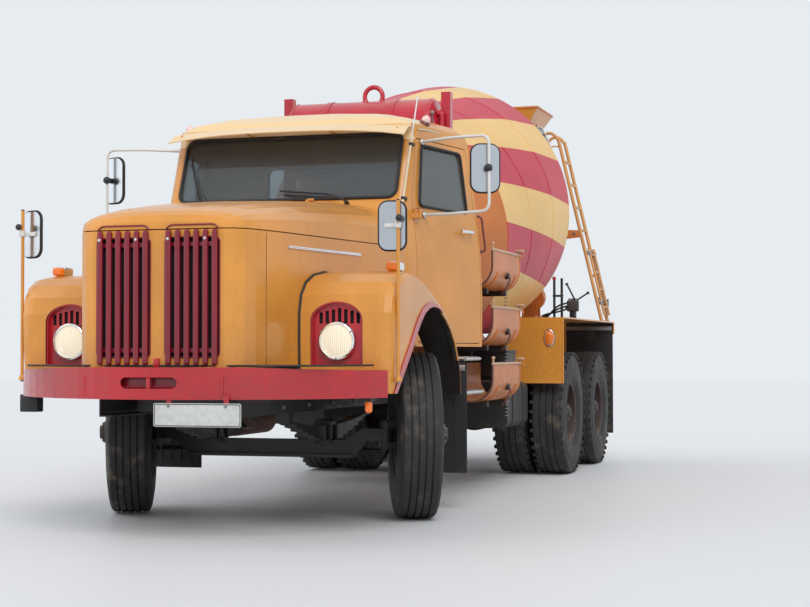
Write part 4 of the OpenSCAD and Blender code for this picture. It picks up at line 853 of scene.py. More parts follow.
class TRUCK_OT_tyres(PieceOperator):
    """Tyres with ribbed tread and moulded sidewalls"""
    bl_idname = "truck.tyres"
    bl_label = "Tyres"

    def make(self):
        for name, _ in BOTH_SIDES:
            hub, axis = wheel_frame(f"front_tyre_{name}", 1, STEER)
            rings = tyre_profile(5)
            tyre = turned(f"front_tread_{name}", rings, hub, axis, TYRE_SIDES, closed=True, angle=28)
            dressed(tyre, "tyre", f"front_wheel_{name}")
            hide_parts(f"front_tyre_{name}")
        for axle in ("first", "second"):
            for name, _ in BOTH_SIDES:
                self.rear_pair(axle, name)

    def rear_pair(self, axle, name):
        """Twin tyres with lugs across their shoulders."""
        node = f"{axle}_rear_tyres_{name}"
        low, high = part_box(node)
        middle = (low + high) / 2
        pair = []
        for x in (low.x + TYRE_WIDTH / 2, high.x - TYRE_WIDTH / 2):
            hub = (x, middle.y, middle.z)
            tyre = turned("tyre", tyre_profile(4), hub, LEFT, TYRE_SIDES, closed=True, angle=28)
            lug = block("lug", (-0.016, -0.0145, -0.028), (0.016, 0.0145, 0), 0.003, 1)
            places = []
            for i in range(LUGS):
                for s in SIDES:
                    a = math.tau * (i + 0.25 * s) / LUGS
                    out = Vector((0, math.cos(a), math.sin(a)))
                    centre = Vector((x + s * (TYRE_WIDTH / 2 - 0.0145), middle.y, middle.z))
                    places.append(turned_frame(centre + out * (TYRE_RADIUS - 0.006), LEFT, out))
            pair += [tyre, copies(lug, "lugs", places)]
        made = dressed(joined(f"{axle}_rear_tread_{name}", pair), "tyre", f"{axle}_rear_wheels_{name}")
        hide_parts(node)


def turned_frame(place, across, out):
    """A matrix that sends +X to across and +Z to out."""
    across, out = Vector(across).normalized(), Vector(out).normalized()
    return Matrix.Translation(place) @ Matrix((across, out.cross(across), out)).transposed().to_4x4()


# Places that the fittings share

# Half width of the bonnet by distance behind the front axle
BONNET_WIDTH = ((-1.74, 0.400), (-1.725, 0.452), (-1.68, 0.500), (-1.6, 0.532), (-1.5, 0.556), (-1.29, 0.600),
                (-1.0, 0.650), (-0.7, 0.700), (-0.42, 0.748), (-0.2, 0.790), (-0.06, 0.816), (0.1, 0.848),
                (0.3, 0.885))
# Crown and arch lip of the front wings, each as distance behind the axle and height, and the outer half width
WING = (((-1.150, 0.830), (-1.052, 0.830), 1.185), ((-1.158, 1.150), (-0.925, 0.962), 1.195),
        ((-1.156, 1.300), (-0.800, 1.078), 1.200), ((-1.135, 1.400), (-0.700, 1.178), 1.203),
        ((-1.080, 1.475), (-0.620, 1.250), 1.205), ((-0.990, 1.522), (-0.530, 1.306), 1.205),
        ((-0.860, 1.545), (-0.430, 1.340), 1.205), ((-0.720, 1.535), (-0.330, 1.352), 1.205),
        ((-0.560, 1.500), (-0.230, 1.345), 1.205), ((-0.385, 1.448), (-0.110, 1.318), 1.203),
        ((-0.200, 1.390), (0.010, 1.275), 1.200), ((0.000, 1.318), (0.150, 1.215), 1.192),
        ((0.200, 1.222), (0.300, 1.130), 1.180), ((0.400, 1.080), (0.440, 1.010), 1.165))
# Height, front edge, and half widths at the front and rear of the cab's sides
CAB_SIDES = ((1.105, 0.190, 0.890, 1.128), (1.450, 0.190, 0.900, 1.134), (1.750, 0.190, 0.888, 1.124),
             (1.960, 0.200, 0.872, 1.102), (2.075, 0.258, 0.866, 1.084), (2.555, 0.446, 0.868, 1.020))
CAB_REAR = 1.3
# Middles of the door hinges and of a seat, and where the cab's steps leave the body
HINGE_Y = 0.39
SEAT_X = 0.430
STEP_ROOT = 0.884
# Middle of the ladder and half the distance between its rails
LADDER_Y = 5.985
LADDER_HALF = 0.165
# Outer edges of the rear mudguards and of the frame's rails
GUARD_EDGE_X = 1.243
FRAME_X = 0.431


def between(table, value):
    """The row of a table at a value of its first column, by straight lines."""
    for low, high in zip(table, table[1:]):
        if value <= high[0]:
            share = (value - low[0]) / (high[0] - low[0])
            return [a + (b - a) * share for a, b in zip(low, high)]
    return list(table[-1])


def cab_side(y, z):
    """Half width of the cab's outer skin."""
    _, front, front_width, rear_width = between(CAB_SIDES, z)
    return front_width + (rear_width - front_width) * (y - front) / (CAB_REAR - front)


def screen_y(z):
    """Where the windscreen's sloping plane stands at a height."""
    return 0.258 + (z - 2.075) * 0.3917


def bar(name, start, end, radius, sides=4):
    return tube(name, [start, end], radius, 0, sides)


def ring(name, radius, thickness, place, direction, sides=48, squeeze=1.0):
    """A round bar bent into a ring, which may be squeezed into an oval along its own x."""
    bpy.ops.object.select_all(action="DESELECT")
    bpy.ops.mesh.primitive_torus_add(major_radius=radius, minor_radius=thickness, major_segments=sides,
                                     minor_segments=12)
    piece = named(name)
    piece.scale = (squeeze, 1, 1)
    settle(piece)
    piece.matrix_world = turned_to(direction, place)
    settle(piece)
    return smooth(outwards(piece), 60)


def dome(name, radius, height, place, direction, sides=40, squeeze=1.0):
    """A shallow dome on a flat base, such as a lens or a cap."""
    rings = [(radius, 0), (radius, height * 0.25)]
    rings += [(radius * math.cos(a), height * (0.25 + 0.75 * math.sin(a))) for a in (0.35, 0.7, 1.05, 1.35)]
    piece = turned(name, rings, sides=sides, angle=50)
    piece.scale = (squeeze, 1, 1)
    settle(piece)
    piece.matrix_world = turned_to(direction, place)
    settle(piece)
    return outwards(piece)


def slab(name, low, high, finish, body="chassis", bevel=0.003):
    return dressed(block(name, low, high, bevel), finish, body)


def sorted_x(side, low, high):
    """Two distances from the truck's middle, on one side of it, in the order of their x."""
    return sorted((side * low, side * high))


def wheel_frame(node, side, turn=0.0):
    """Centre of a wheel and the direction that its outer face looks."""
    middle = centre_of(node)
    middle.z = TYRE_RADIUS
    return middle, Vector((math.cos(turn), math.sin(turn), 0)) * side


def ring_places(centre, out, radius, count, start=0.0):
    """Places on a circle round an axis, each with the direction of the axis."""
    across = out.cross(UP).normalized()
    turns = [start + math.tau * i / count for i in range(count)]
    return [(centre + (across * math.cos(a) + UP * math.sin(a)) * radius, out) for a in turns]


class TRUCK_OT_wheel_fittings(PieceOperator):
    """Wheel nuts, hub caps and valves"""
    bl_idname = "truck.wheel_fittings"
    bl_label = "Wheel Nuts and Hubs"

    def make(self):
        for name, side in BOTH_SIDES:
            centre, out = wheel_frame(f"front_tyre_{name}", side, STEER)
            self.hub(f"front_hub_{name}", centre, out, 0.069, 0.185, f"front_wheel_{name}")
        for axle in ("first", "second"):
            for name, side in BOTH_SIDES:
                node = f"{axle}_rear_tyres_{name}"
                centre, out = wheel_frame(node, side)
                centre.x = side * (max(abs(p.x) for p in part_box(node)) - TYRE_WIDTH / 2)
                self.hub(f"{axle}_rear_hub_{name}", centre, out, -0.0945, 0.085, f"{axle}_rear_wheels_{name}")

    def hub(self, name, centre, out, flange, tip, body):
        """Ten nuts on studs, with a bolted cap over the hub's end."""
        nut = joined("nut", [
            turned("collar", [(0.021, 0), (0.021, 0.004), (0.018, 0.006)], sides=20),
            turned("hexagon", [(0.0175, 0.004), (0.0175, 0.024), (0.0145, 0.027)], sides=6, angle=20),
            turned("stud", [(0.0095, 0.02), (0.0095, 0.040), (0.0075, 0.043)], sides=12)])
        places = ring_places(centre + out * flange, out, 0.148, 10, 0.16)
        dressed(smooth(copies(nut, name + "_nuts", [turned_to(d, p) for p, d in places]), 25), "steel", body)
        rings = [(0.066, 0), (0.066, 0.008), (0.050, 0.011), (0.046, 0.024), (0.040, 0.029)]
        dressed(turned(name + "_cap", rings, centre + out * tip, out, 40), "casting", body)
        places = ring_places(centre + out * (tip + 0.008), out, 0.058, 8)
        bolts(name + "_cap_bolts", places, "steel", body, 0.011)
        base = centre + out * (flange + 0.01)
        stem = [base + UP * 0.225, base + UP * 0.222 + out * 0.03, base + UP * 0.19 + out * 0.045]
        dressed(tube(name + "_valve", stem, 0.0045, 0.01), "steel", body)


# Middle of a headlight, and the rings of its parts, each a radius and a distance
LAMP_X, LAMP_Z = 0.857, 1.135
LAMP_RIM = [(0.0955, 0.012), (0.0965, 0.001), (0.102, -0.005), (0.109, -0.002), (0.1130, 0.008),
            (0.1130, 0.038),
            (0.106, 0.042), (0.098, 0.030)]
LAMP_BOWL = [(0.097, 0.014), (0.090, 0.05), (0.070, 0.092), (0.044, 0.122), (0.02, 0.138), (0.02, 0.148),
             (0.05, 0.130), (0.078, 0.096), (0.100, 0.05), (0.105, 0.016)]
LAMP_GLASS = [(0.097, 0), (0.097, 0.004), (0.079, 0.0095), (0.051, 0.0145), (0.022, 0.0165), (0.004, 0.017)]


class TRUCK_OT_headlights(PieceOperator):
    """Headlights: bowl, bulb, fluted lens and chrome rim"""
    bl_idname = "truck.headlights"
    bl_label = "Headlights"

    def make(self):
        for name, side in BOTH_SIDES:
            x = side * LAMP_X
            place = at(x, -1.162, LAMP_Z)
            rim = turned(f"headlight_rim_{name}", LAMP_RIM, place, BACK, 72, closed=True, angle=50)
            bowl = turned(f"headlight_bowl_{name}", LAMP_BOWL, place, BACK, 56, closed=True, angle=50)
            bulb = dome(f"headlight_bulb_{name}", 0.016, 0.05, at(x, -1.035, LAMP_Z), FRONT, 24)
            glass = turned(f"headlight_glass_{name}", LAMP_GLASS, at(x, -1.149, LAMP_Z), FRONT, 72, angle=60)
            screw = turned("screw", [(0.006, 0), (0.006, 0.003), (0.003, 0.005)], sides=16)
            screws = copies(screw, f"headlight_screws_{name}", [
                turned_to(FRONT, place + Vector((0.1040 * math.cos(a), -0.005, 0.1040 * math.sin(a))))
                for a in (-math.pi / 2, math.radians(150), math.radians(30))])
            vent = plate(f"lamp_vent_{name}", round_box(0.27, 0.105, 0.02), 0.004, at(x, -1.104, 1.285))
            for piece, finish in ((rim, "chrome"), (bowl, "bright"), (bulb, "headlight"),
                                  (glass, "headlight"),
                                  (screws, "steel"), (vent, "screen")):
                dressed(piece, finish)
            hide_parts("headlights")


class TRUCK_OT_lamps(PieceOperator):
    """Side, roof, mudguard and rear lamps"""
    bl_idname = "truck.lamps"
    bl_label = "Small Lamps"

    def make(self):
        for name, side in BOTH_SIDES:
            self.indicator(name, side)
            self.roof_lamp(name, side)
            self.guard_lamp(name, side)
            self.rear_lenses(name, side)
        self.low_lamp()

    def indicator(self, name, side):
        """Amber lamp in a chrome shell on the wing's top."""
        for part, low, high, bevel, segments, angle, z, finish in (
                ("shell", (-0.040, -0.045, -0.012), (0.040, 0.085, 0.050), 0.022, 5, 60, 1.560, "chrome"),
                ("lens", (-0.034, -0.078, -0.010), (0.034, -0.025, 0.043), 0.016, 5, 60, 1.561, "amber"),
                ("foot", (-0.030, -0.030, -0.035), (0.030, 0.060, -0.008), 0.006, 2, 35, 1.560, "rubber")):
            piece = block(f"indicator_{part}_{name}", low, high, bevel, segments)
            piece.matrix_world = Matrix.Translation(at(side * 1.1, -0.80, z))
            dressed(smooth(settle(piece), angle), finish)

    def roof_lamp(self, name, side):
        """Pale marker lamp at the roof's corner."""
        spot = at(side * 0.865, 0.67, 2.632)
        out = Vector((side * 0.42, -0.15, 0.9)).normalized()
        rings = [(0.036, 0), (0.038, 0.01), (0.033, 0.02), (0.028, 0.022)]
        dressed(turned(f"roof_lamp_base_{name}", rings, spot, out, 36), "hinge")
        dressed(dome(f"roof_lamp_glass_{name}", 0.029, 0.042, spot + out * 0.02, out, 36), "pale_lens")

    def low_lamp(self):
        """Amber lamp on a bracket under the bumper's left end."""
        x = 1.069
        slab("low_lamp_bracket_left", at(x - 0.022, -1.235, 0.785), at(x + 0.022, -1.180, 0.812), "chassis")
        rings = [(0.017, 0), (0.021, 0.008), (0.021, 0.052), (0.014, 0.062)]
        dressed(turned("low_lamp_left", rings, at(x, -1.21, 0.786), DOWN, 28), "amber")

    def guard_lamp(self, name, side):
        """Oval amber lamp in a chrome ring on the mudguard's front panel."""
        place = at(side * 1.128, 3.597, 1.185)
        dressed(ring(f"guard_lamp_ring_{name}", 0.066, 0.009, place, FRONT, 48, 0.62), "chrome")
        dressed(dome(f"guard_lamp_glass_{name}", 0.062, 0.03, place, FRONT, 40, 0.62), "amber")
        place += Vector((0, 0.003, 0))
        dressed(dome(f"guard_lamp_seal_{name}", 0.078, 0.006, place, FRONT, 40, 0.64), "rubber")

    def rear_lenses(self, name, side):
        """Round brake lamp and indicator in rubber seats, with a reflector."""
        for x, finish in ((0.85, "red_lens"), (1.0, "amber")):
            place = at(side * x, 6.2655, 0.81)
            dressed(ring(f"rear_seat_{finish}_{name}", 0.046, 0.006, place, BACK, 40), "rubber")
            dressed(dome(f"rear_glass_{finish}_{name}", 0.043, 0.018, place, BACK, 40), finish)
        place = at(side * 0.56, 6.2405, 0.81)
        corners = [(0.055, -0.04), (0, 0.055), (-0.055, -0.04)]
        dressed(plate(f"rear_reflector_{name}", corners, 0.008, place, (-1, 0, 0), UP, 0.002), "red_lens")


class TRUCK_OT_bumper_fittings(PieceOperator):
    """Blank plate, slot louvre, crank guide, end block and top seal"""
    bl_idname = "truck.bumper_fittings"
    bl_label = "Bumper Fittings"

    def make(self):
        place = at(0.29, -1.852, 0.725)
        dressed(plate("blank_plate", round_box(0.52, 0.13, 0.012), 0.004, place, edge=0.001), "plate")
        hem = [place + Vector((u, -0.004, v)) for u, v in round_box(0.508, 0.118, 0.010)]
        dressed(tube("blank_plate_hem", hem, 0.0022, 0, 2, cyclic=True), "plastic")
        tabs = (0.12, 0.46)
        for x in tabs:
            low, high = at(x - 0.015, -1.852, 0.775), at(x + 0.015, -1.842, 0.83)
            slab(f"plate_tab_{int(x * 100)}", low, high, "bumper")
        bolts("plate_bolts", [(at(x, -1.857, 0.775), FRONT) for x in tabs], "steel", width=0.012)
        slab("end_block", at(-1.205, -1.14, 0.705), at(-1.085, -1.06, 0.812), "plastic", bevel=0.006)
        slab("slot_louvre_low", at(-0.17, -1.842, 0.876), at(0.17, -1.834, 0.880), "bumper", bevel=0.001)
        slab("slot_divider", at(-0.012, -1.864, 0.868), at(0.012, -1.848, 0.932), "bumper")
        slab("slot_back", at(-0.19, -1.822, 0.862), at(0.19, -1.816, 0.938), "grille", bevel=0.001)
        slab("crank_guide", at(-0.016, -1.762, 0.985), at(0.016, -1.738, 1.035), "bumper")
        # Top of the bumper a little behind its face
        edge = [at(x, y, 0.994) for x, y in ((-1.10, -1.22), (-0.9, -1.58), (-0.6, -1.72), (0.0, -1.755),
                                             (0.6, -1.72), (0.9, -1.58), (1.10, -1.22))]
        dressed(tube("bumper_top_seal", edge, 0.006, 0.05, 3), "rubber")


class TRUCK_OT_grille_fittings(PieceOperator):
    """Bars, insect screens, rails, screws and trims of the two grilles"""
    bl_idname = "truck.grille_fittings"
    bl_label = "Grille Fittings"

    def make(self):
        screws = []
        for name, side in BOTH_SIDES:
            low, high = sorted_x(side, 0.045, 0.375)
            slab(f"insect_screen_{name}", at(low - 0.03, -1.722, 1.01), at(high + 0.03, -1.718, 1.742),
                 "screen", bevel=0)
            edge = [at((low + high) / 2 + u, -1.7405, 1.376 + v) for u, v in round_box(0.330, 0.672, 0.028)]
            dressed(tube(f"grille_seal_{name}", edge, 0.0045, 0, 3, cyclic=True), "grille")
            trim = [at(low + 0.005, -1.7445, 1.757), at(low + 0.03, -1.7455, 1.781),
                    at(high - 0.03, -1.7455, 1.781), at(high - 0.005, -1.7445, 1.757)]
            dressed(tube(f"grille_trim_{name}", trim, 0.0045, 0.02, 3), "grille")
            pitch = (high - low - 0.05) / 5
            stiles = [low + 0.025 + i * pitch for i in range(6)]
            stile = plate("stile", round_box(0.034, 0.756, 0.0165, 8), 0.0235, (0, 0.0118, 0), edge=0.009)
            places = [Matrix.Translation(at(x, -1.7523, 1.376)) for x in stiles]
            bars = dressed(copies(stile, f"grille_bars_{name}", places), "grille")
            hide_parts("grille_bars")
            for z in (1.08, 1.672):
                slab(f"grille_rail_{int(z * 100)}_{name}", at(low + 0.013, -1.7413, z - 0.012),
                     at(high - 0.013, -1.7353, z + 0.012), "grille", bevel=0.001)
            screws += [at(stiles[i], -1.7638, 1.702) for i in (0, 4)]
        screw = turned("screw", [(0.0085, 0), (0.0085, 0.003), (0.005, 0.0065), (0.001, 0.007)], sides=20)
        dressed(copies(screw, "grille_screws", [turned_to(FRONT, p) for p in screws]), "chrome")


class TRUCK_OT_bonnet_trim(PieceOperator):
    """Chrome strips, wing piping, arch bands and nose seams"""
    bl_idname = "truck.bonnet_trim"
    bl_label = "Bonnet and Wing Trim"

    def make(self):
        for name, side in BOTH_SIDES:
            steps = [-1.28 + 0.88 * i / 12 for i in range(13)]
            for part, height, radius in (("", 1.680, 0.0055), ("_low", 1.672, 0.0045)):
                line = [at(side * (between(BONNET_WIDTH, y)[1] + 0.003), y, height) for y in steps]
                dressed(tube(f"side_strip{part}_{name}", line, radius, 0, 4), "chrome")
            crown = [at(side * (between(BONNET_WIDTH, y)[1] + 0.004), y, z + 0.002)
                     for (y, z), _, _ in WING[:11]]
            dressed(tube(f"wing_piping_{name}", crown, 0.0085, 0, 4), "rubber")
            self.arch_band(name, side)
            rear = [at(side * (x - 0.006), y, z + 0.004) for _, (y, z), x in WING[9:]]
            dressed(tube(f"arch_edge_{name}", rear, 0.007, 0, 4), "body")
            seam = [at(side * 0.5562, -1.5, z) for z in (1.0, 1.742)]
            dressed(bar(f"nose_seam_{name}", *seam, 0.0022, 2), "hinge")

    def arch_band(self, name, side):
        """Red band along the front half of the arch, bent to the wing's side."""
        width, thickness, middle = 0.056, 0.006, 1.206
        inner, outer = [], []
        for crown, lip, _ in WING[:10]:
            low, high = Vector((*lip, 0)), Vector((*crown, 0))
            away = (high - low).normalized()
            inner.append(low - away * 0.006)
            outer.append(low + away * width)
        outline = [(AXLE_Y + p.x, p.y) for p in inner + outer[::-1]]
        back = middle if side > 0 else -middle - thickness
        band = plate(f"arch_band_{name}", outline, thickness, (back, 0, 0), BACK, UP)
        for (_, _, half), low, high in zip(WING[:4], inner, outer):
            edit(band)
            mesh = bmesh.from_edit_mesh(band.data)
            for vertex in mesh.verts:
                spot = Vector((vertex.co.y - AXLE_Y, vertex.co.z, 0))
                vertex.select_set(min((spot - low).length, (spot - high).length) < 0.002)
            mesh.select_flush_mode()
            bmesh.update_edit_mesh(band.data)
            bpy.ops.transform.translate(value=(side * (half - middle + 0.001), 0, 0))
            leave()
        dressed(smooth(band, 30), "arch")


class TRUCK_OT_screens(PieceOperator):
    """Window gaskets, gutters and wipers"""
    bl_idname = "truck.screens"
    bl_label = "Gaskets and Wipers"

    def make(self):
        edge = []
        for u, v in round_box(1.566, 0.447, 0.06):
            z = 2.3215 + v
            edge.append(at(u, screen_y(z) - 0.004, z))
        dressed(tube("windscreen_gasket", edge, 0.011, 0, 4, cyclic=True), "rubber")
        edge = [at(u, CAB_REAR + 0.002, 2.27 + v) for u, v in round_box(1.04, 0.32, 0.05)]
        dressed(tube("rear_window_gasket", edge, 0.010, 0, 4, cyclic=True), "rubber")
        for name, side in BOTH_SIDES:
            gutter = [at(side * 0.872, 0.50, 2.572), at(side * 0.885, 0.60, 2.583),
                      at(side * 0.990, 1.22, 2.588)]
            dressed(tube(f"rain_gutter_{name}", gutter, 0.007, 0.03, 4), "gutter")
        self.wiper("wiper_left", (0.466, 2.056), (-0.042, 2.160), (0.310, 2.130), 0.93)
        self.wiper("wiper_right", (-0.517, 2.066), (-0.741, 2.427), (-0.629, 2.119), 0.72)

    def wiper(self, name, pivot, start, end, meeting):
        """Arm and blade of a wiper. The arm meets the blade at a share of the blade's length."""
        foot = at(pivot[0], 0.185, pivot[1])

        def on_screen(share, off):
            x, z = (start[i] + (end[i] - start[i]) * share for i in (0, 1))
            return at(x, screen_y(z) - off, z)

        rings = [(0.016, 0), (0.016, 0.02), (0.010, 0.034)]
        post = turned(name + "_post", rings, foot + Vector((0, 0.012, -0.004)), (0, -0.9, 0.45), 20)
        middle = on_screen(meeting, 0.034)
        knee = (foot + Vector((0, -0.034, 0.024))).lerp(middle, 0.2)
        arm = tube(name + "_arm", [foot + Vector((0, -0.018, 0.012)), knee, middle], 0.0068, 0.03, 3)
        blade = tube(name + "_blade", [on_screen(0, 0.011), on_screen(1, 0.011)], 0.0062, 0, 3)
        bows = []
        for a, b in ((0.05, 0.40), (0.60, 0.95), (0.22, 0.78)):
            bow = [on_screen(a, 0.015), on_screen((a + b) / 2, 0.032), on_screen(b, 0.015)]
            bows.append(tube("bow", bow, 0.0048, 0.03, 3))
        dressed(joined(name, [post, arm, blade] + bows), "plastic")


class TRUCK_OT_door_fittings(PieceOperator):
    """Window gaskets, handles, locks, hinge leaves and grab handles of the doors"""
    bl_idname = "truck.door_fittings"
    bl_label = "Door Fittings"

    def make(self):
        for name, side in BOTH_SIDES:
            body = f"door_{name}"
            self.gasket(name, side, body)
            self.handle(name, side, body)
            out = Vector((side, -0.26, 0))
            for z in (1.31, 1.99):
                tag = f"{int(z * 100)}_{name}"
                x = cab_side(HINGE_Y, z)
                leaf = block(f"hinge_leaf_{tag}", (-0.032, -0.028, 0), (0.032, 0.028, 0.006), 0.002)
                leaf.matrix_world = turned_to(out, at(side * (x + 0.0005), HINGE_Y, z + 0.012))
                dressed(settle(leaf), "hinge", body)
                places = [(at(side * (x + 0.006), HINGE_Y + dy, z + 0.012 + dz), out)
                          for dy in (-0.016, 0.016) for dz in (-0.014, 0.014)]
                bolts(f"hinge_bolts_{tag}", places, "steel", body, 0.009)
            self.grab(name, side)
            self.sill(name, side, body)

    def gasket(self, name, side, body):
        corners = [(0.418, 2.048), (1.115, 2.040), (1.115, 2.468), (0.520, 2.468)]
        path = []
        for i, (y, z) in enumerate(corners):
            before, corner, after = (Vector(corners[j % 4]) for j in (i - 1, i, i + 1))
            start = corner + (before - corner).normalized() * 0.045
            end = corner + (after - corner).normalized() * 0.045
            path += [start.lerp(corner, t / 5).lerp(corner.lerp(end, t / 5), t / 5) for t in range(6)]
        edge = [at(side * (cab_side(y, z) + 0.0015), y, z) for y, z in path]
        dressed(tube(f"door_gasket_{name}", edge, 0.0095, 0, 4, cyclic=True), "rubber", body)

    def handle(self, name, side, body):
        """Chrome lever on an oval plate, with the lock below it."""
        y, z = 1.075, 1.905
        skin = side * cab_side(y, z)
        out = Vector((side, -0.25, 0)).normalized()
        back = Vector((0.25 * side, 1, 0)).normalized()
        spot = Vector((skin, AXLE_Y + y, z))
        dressed(dome(f"handle_plate_{name}", 0.040, 0.012, spot, out, 36), "chrome", body)
        lever = [spot + out * 0.004, spot + out * 0.052, spot + out * 0.056 - back * 0.06,
                 spot + out * 0.046 - back * 0.165]
        dressed(tube(f"handle_lever_{name}", lever, 0.0125, 0.02, 6), "chrome", body)
        lock = spot + Vector((0, 0, -0.062))
        dressed(dome(f"door_lock_{name}", 0.014, 0.008, lock, out, 24), "chrome", body)
        dressed(ring(f"door_lock_seal_{name}", 0.016, 0.0025, lock, out, 28), "rubber", body)

    def grab(self, name, side):
        """Upright grab handle on the cab's rear pillar."""
        y = 1.255
        points = []
        for z, off in ((1.78, 0.0), (1.79, 0.040), (2.03, 0.040), (2.04, 0.0)):
            points.append(at(side * (cab_side(y, z) + off), y, z))
        dressed(tube(f"grab_handle_{name}", points, 0.0085, 0.03, 5), "hinge")
        feet = [turned_to((side, -0.2, 0), at(side * (cab_side(y, z) - 0.001), y, z)) for z in (1.78, 2.04)]
        foot = turned("foot", [(0.020, 0), (0.020, 0.004), (0.013, 0.007)], sides=24)
        dressed(copies(foot, f"grab_feet_{name}", feet), "hinge")

    def sill(self, name, side, body):
        """Rubber strip under the door's lower edge."""
        edge = [at(side * (cab_side(y, 1.135) - 0.002), y, 1.137) for y in (0.375, 0.7, 1.165)]
        dressed(tube(f"door_sill_seal_{name}", edge, 0.004, 0, 3), "rubber", body)


class TRUCK_OT_mirrors(PieceOperator):
    """Mirrors on the wings' poles and on the doors' tubes"""
    bl_idname = "truck.mirrors"
    bl_label = "Mirrors"

    def make(self):
        for name, side in BOTH_SIDES:
            self.wing_mirror(name, side)
            self.door_mirror(name, side)

    def head(self, name, middle, width, height, depth, body, swell, yaw):
        """Domed housing towards the front, a rubber rim and the glass turned towards the driver."""
        radius = min(width, height) * 0.30
        turn = Matrix.Translation(middle) @ Matrix.Rotation(yaw, 4, "Z")
        shell = plate(name + "_shell", round_box(width - 0.008, height - 0.008, radius), depth)
        edit(shell)
        pick_faces(shell, lambda spot, out: out.y < -0.9)
        bpy.ops.mesh.inset(thickness=width * 0.09)
        bpy.ops.transform.translate(value=(0, -swell * 0.6, 0))
        bpy.ops.mesh.inset(thickness=width * 0.14)
        bpy.ops.transform.translate(value=(0, -swell * 0.4, 0))
        leave()
        shell = smooth(outwards(shell), 60)
        edge = [Vector((u, 0.001, v)) for u, v in round_box(width, height, radius + 0.004)]
        rim = tube(name + "_rim", edge, 0.0065, 0, 4, cyclic=True)
        glass = plate(name + "_glass", round_box(width - 0.014, height - 0.014, radius - 0.004), 0.003,
                      (0, 0.0035, 0), (-1, 0, 0), UP)
        for piece, finish in ((shell, "polished"), (rim, "rubber"), (glass, "mirror")):
            piece.matrix_world = turn @ piece.matrix_world
            dressed(settle(piece), finish, body)

    def wing_mirror(self, name, side):
        x, y = side * 1.2125, -1.1
        pole = bar(f"mirror_pole_{name}", at(x, y, 0.902), at(x, y, 1.948), 0.0105, 6)
        dressed(pole, "body")
        dressed(dome(f"mirror_pole_cap_{name}", 0.0115, 0.008, at(x, y, 1.9455), UP, 20), "plastic")
        middle = at(side * 1.166, -1.060, 1.80)
        yaw = math.radians(10 if side > 0 else -18)
        self.head(f"wing_mirror_{name}", middle, 0.160, 0.286, 0.014, "chassis", 0.010, yaw)
        low, high = sorted((x, x - side * 0.085))
        slab(f"mirror_clamp_{name}", at(low, -1.098, 1.788), at(high, -1.080, 1.812), "white", bevel=0.004)
        slab(f"mirror_clip_{name}", at(x - 0.017, -1.118, 1.784), at(x + 0.017, -1.083, 1.820), "white",
             bevel=0.005)
        knob_x = x + side * 0.012
        knob = dome(f"mirror_knob_{name}", 0.020, 0.024, at(knob_x, -1.122, 1.842), (side * 0.3, -1, 0), 24)
        dressed(knob, "plastic")
        stem = [at(x, -1.092, 1.838), at(knob_x, -1.126, 1.842)]
        dressed(bar(f"mirror_knob_stem_{name}", *stem, 0.006), "steel")
        rings = [(0.022, 0), (0.022, 0.008), (0.0145, 0.03)]
        dressed(turned(f"mirror_foot_{name}", rings, at(x, y, 0.900), UP, 24), "body")
        bolts(f"mirror_foot_nut_{name}", [(at(x, y, 0.901), DOWN)], "steel", width=0.018)
        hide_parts("wing_mirrors")

    def door_mirror(self, name, side):
        body = f"door_{name}"
        path = [(0.872, 0.530, 2.490), (1.120, 0.440, 2.500), (1.390, 0.384, 2.500), (1.390, 0.384, 2.000),
                (1.120, 0.430, 1.990), (0.893, 0.464, 1.9885)]
        arm = tube(f"door_mirror_arm_{name}", [at(side * x, y, z) for x, y, z in path], 0.0105, 0.06, 5)
        dressed(arm, "white", body)
        middle = at(side * 1.352, 0.428, 2.285)
        self.head(f"door_mirror_{name}", middle, 0.192, 0.322, 0.016, body, 0.012, side * math.radians(20))
        x = side * 1.388
        dressed(dome(f"door_mirror_knuckle_{name}", 0.025, 0.026, at(x, 0.378, 2.285), FRONT, 28), "plastic",
                body)
        slab(f"door_mirror_clamp_{name}", at(x - 0.018, 0.372, 2.267), at(x + 0.018, 0.416, 2.303), "plastic",
             body, 0.005)
        for x, y, z in (path[0], path[-1]):
            foot = dome(f"door_mirror_foot_{int(z * 100)}_{name}", 0.022, 0.016,
                        at(side * (cab_side(y, z) - 0.001), y, z), (side, -0.25, 0), 24)
            dressed(foot, "bright", body)
        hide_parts(f"door_mirror_{name}")


class TRUCK_OT_roof_fittings(PieceOperator):
    """Aerial and the stays of the brim over the windscreen"""
    bl_idname = "truck.roof_fittings"
    bl_label = "Roof Fittings"

    def make(self):
        foot, tip = at(0.846, 0.212, 2.055), at(0.878, 0.458, 2.785)
        dressed(bar("aerial_sheath", foot, foot.lerp(tip, 0.6), 0.0085, 5), "gutter")
        dressed(bar("aerial", foot.lerp(tip, 0.55), tip, 0.005, 4), "white")
        dressed(dome("aerial_tip", 0.0075, 0.009, tip, tip - foot, 16), "white")
        clips = []
        for share in (0.04, 0.55):
            spot = foot.lerp(tip, share)
            low, high = spot - Vector((0.013, 0.012, 0.011)), spot + Vector((0.011, 0.062, 0.011))
            clips.append(block("clip", low, high, 0.003))
        dressed(joined("aerial_clips", clips), "plastic")
        for name, side in BOTH_SIDES:
            for x in (0.30, 0.78):
                ends = [at(side * x, 0.30, 2.565), at(side * x, 0.45, 2.555)]
                dressed(bar(f"visor_stay_{int(x * 100)}_{name}", *ends, 0.006), "body")


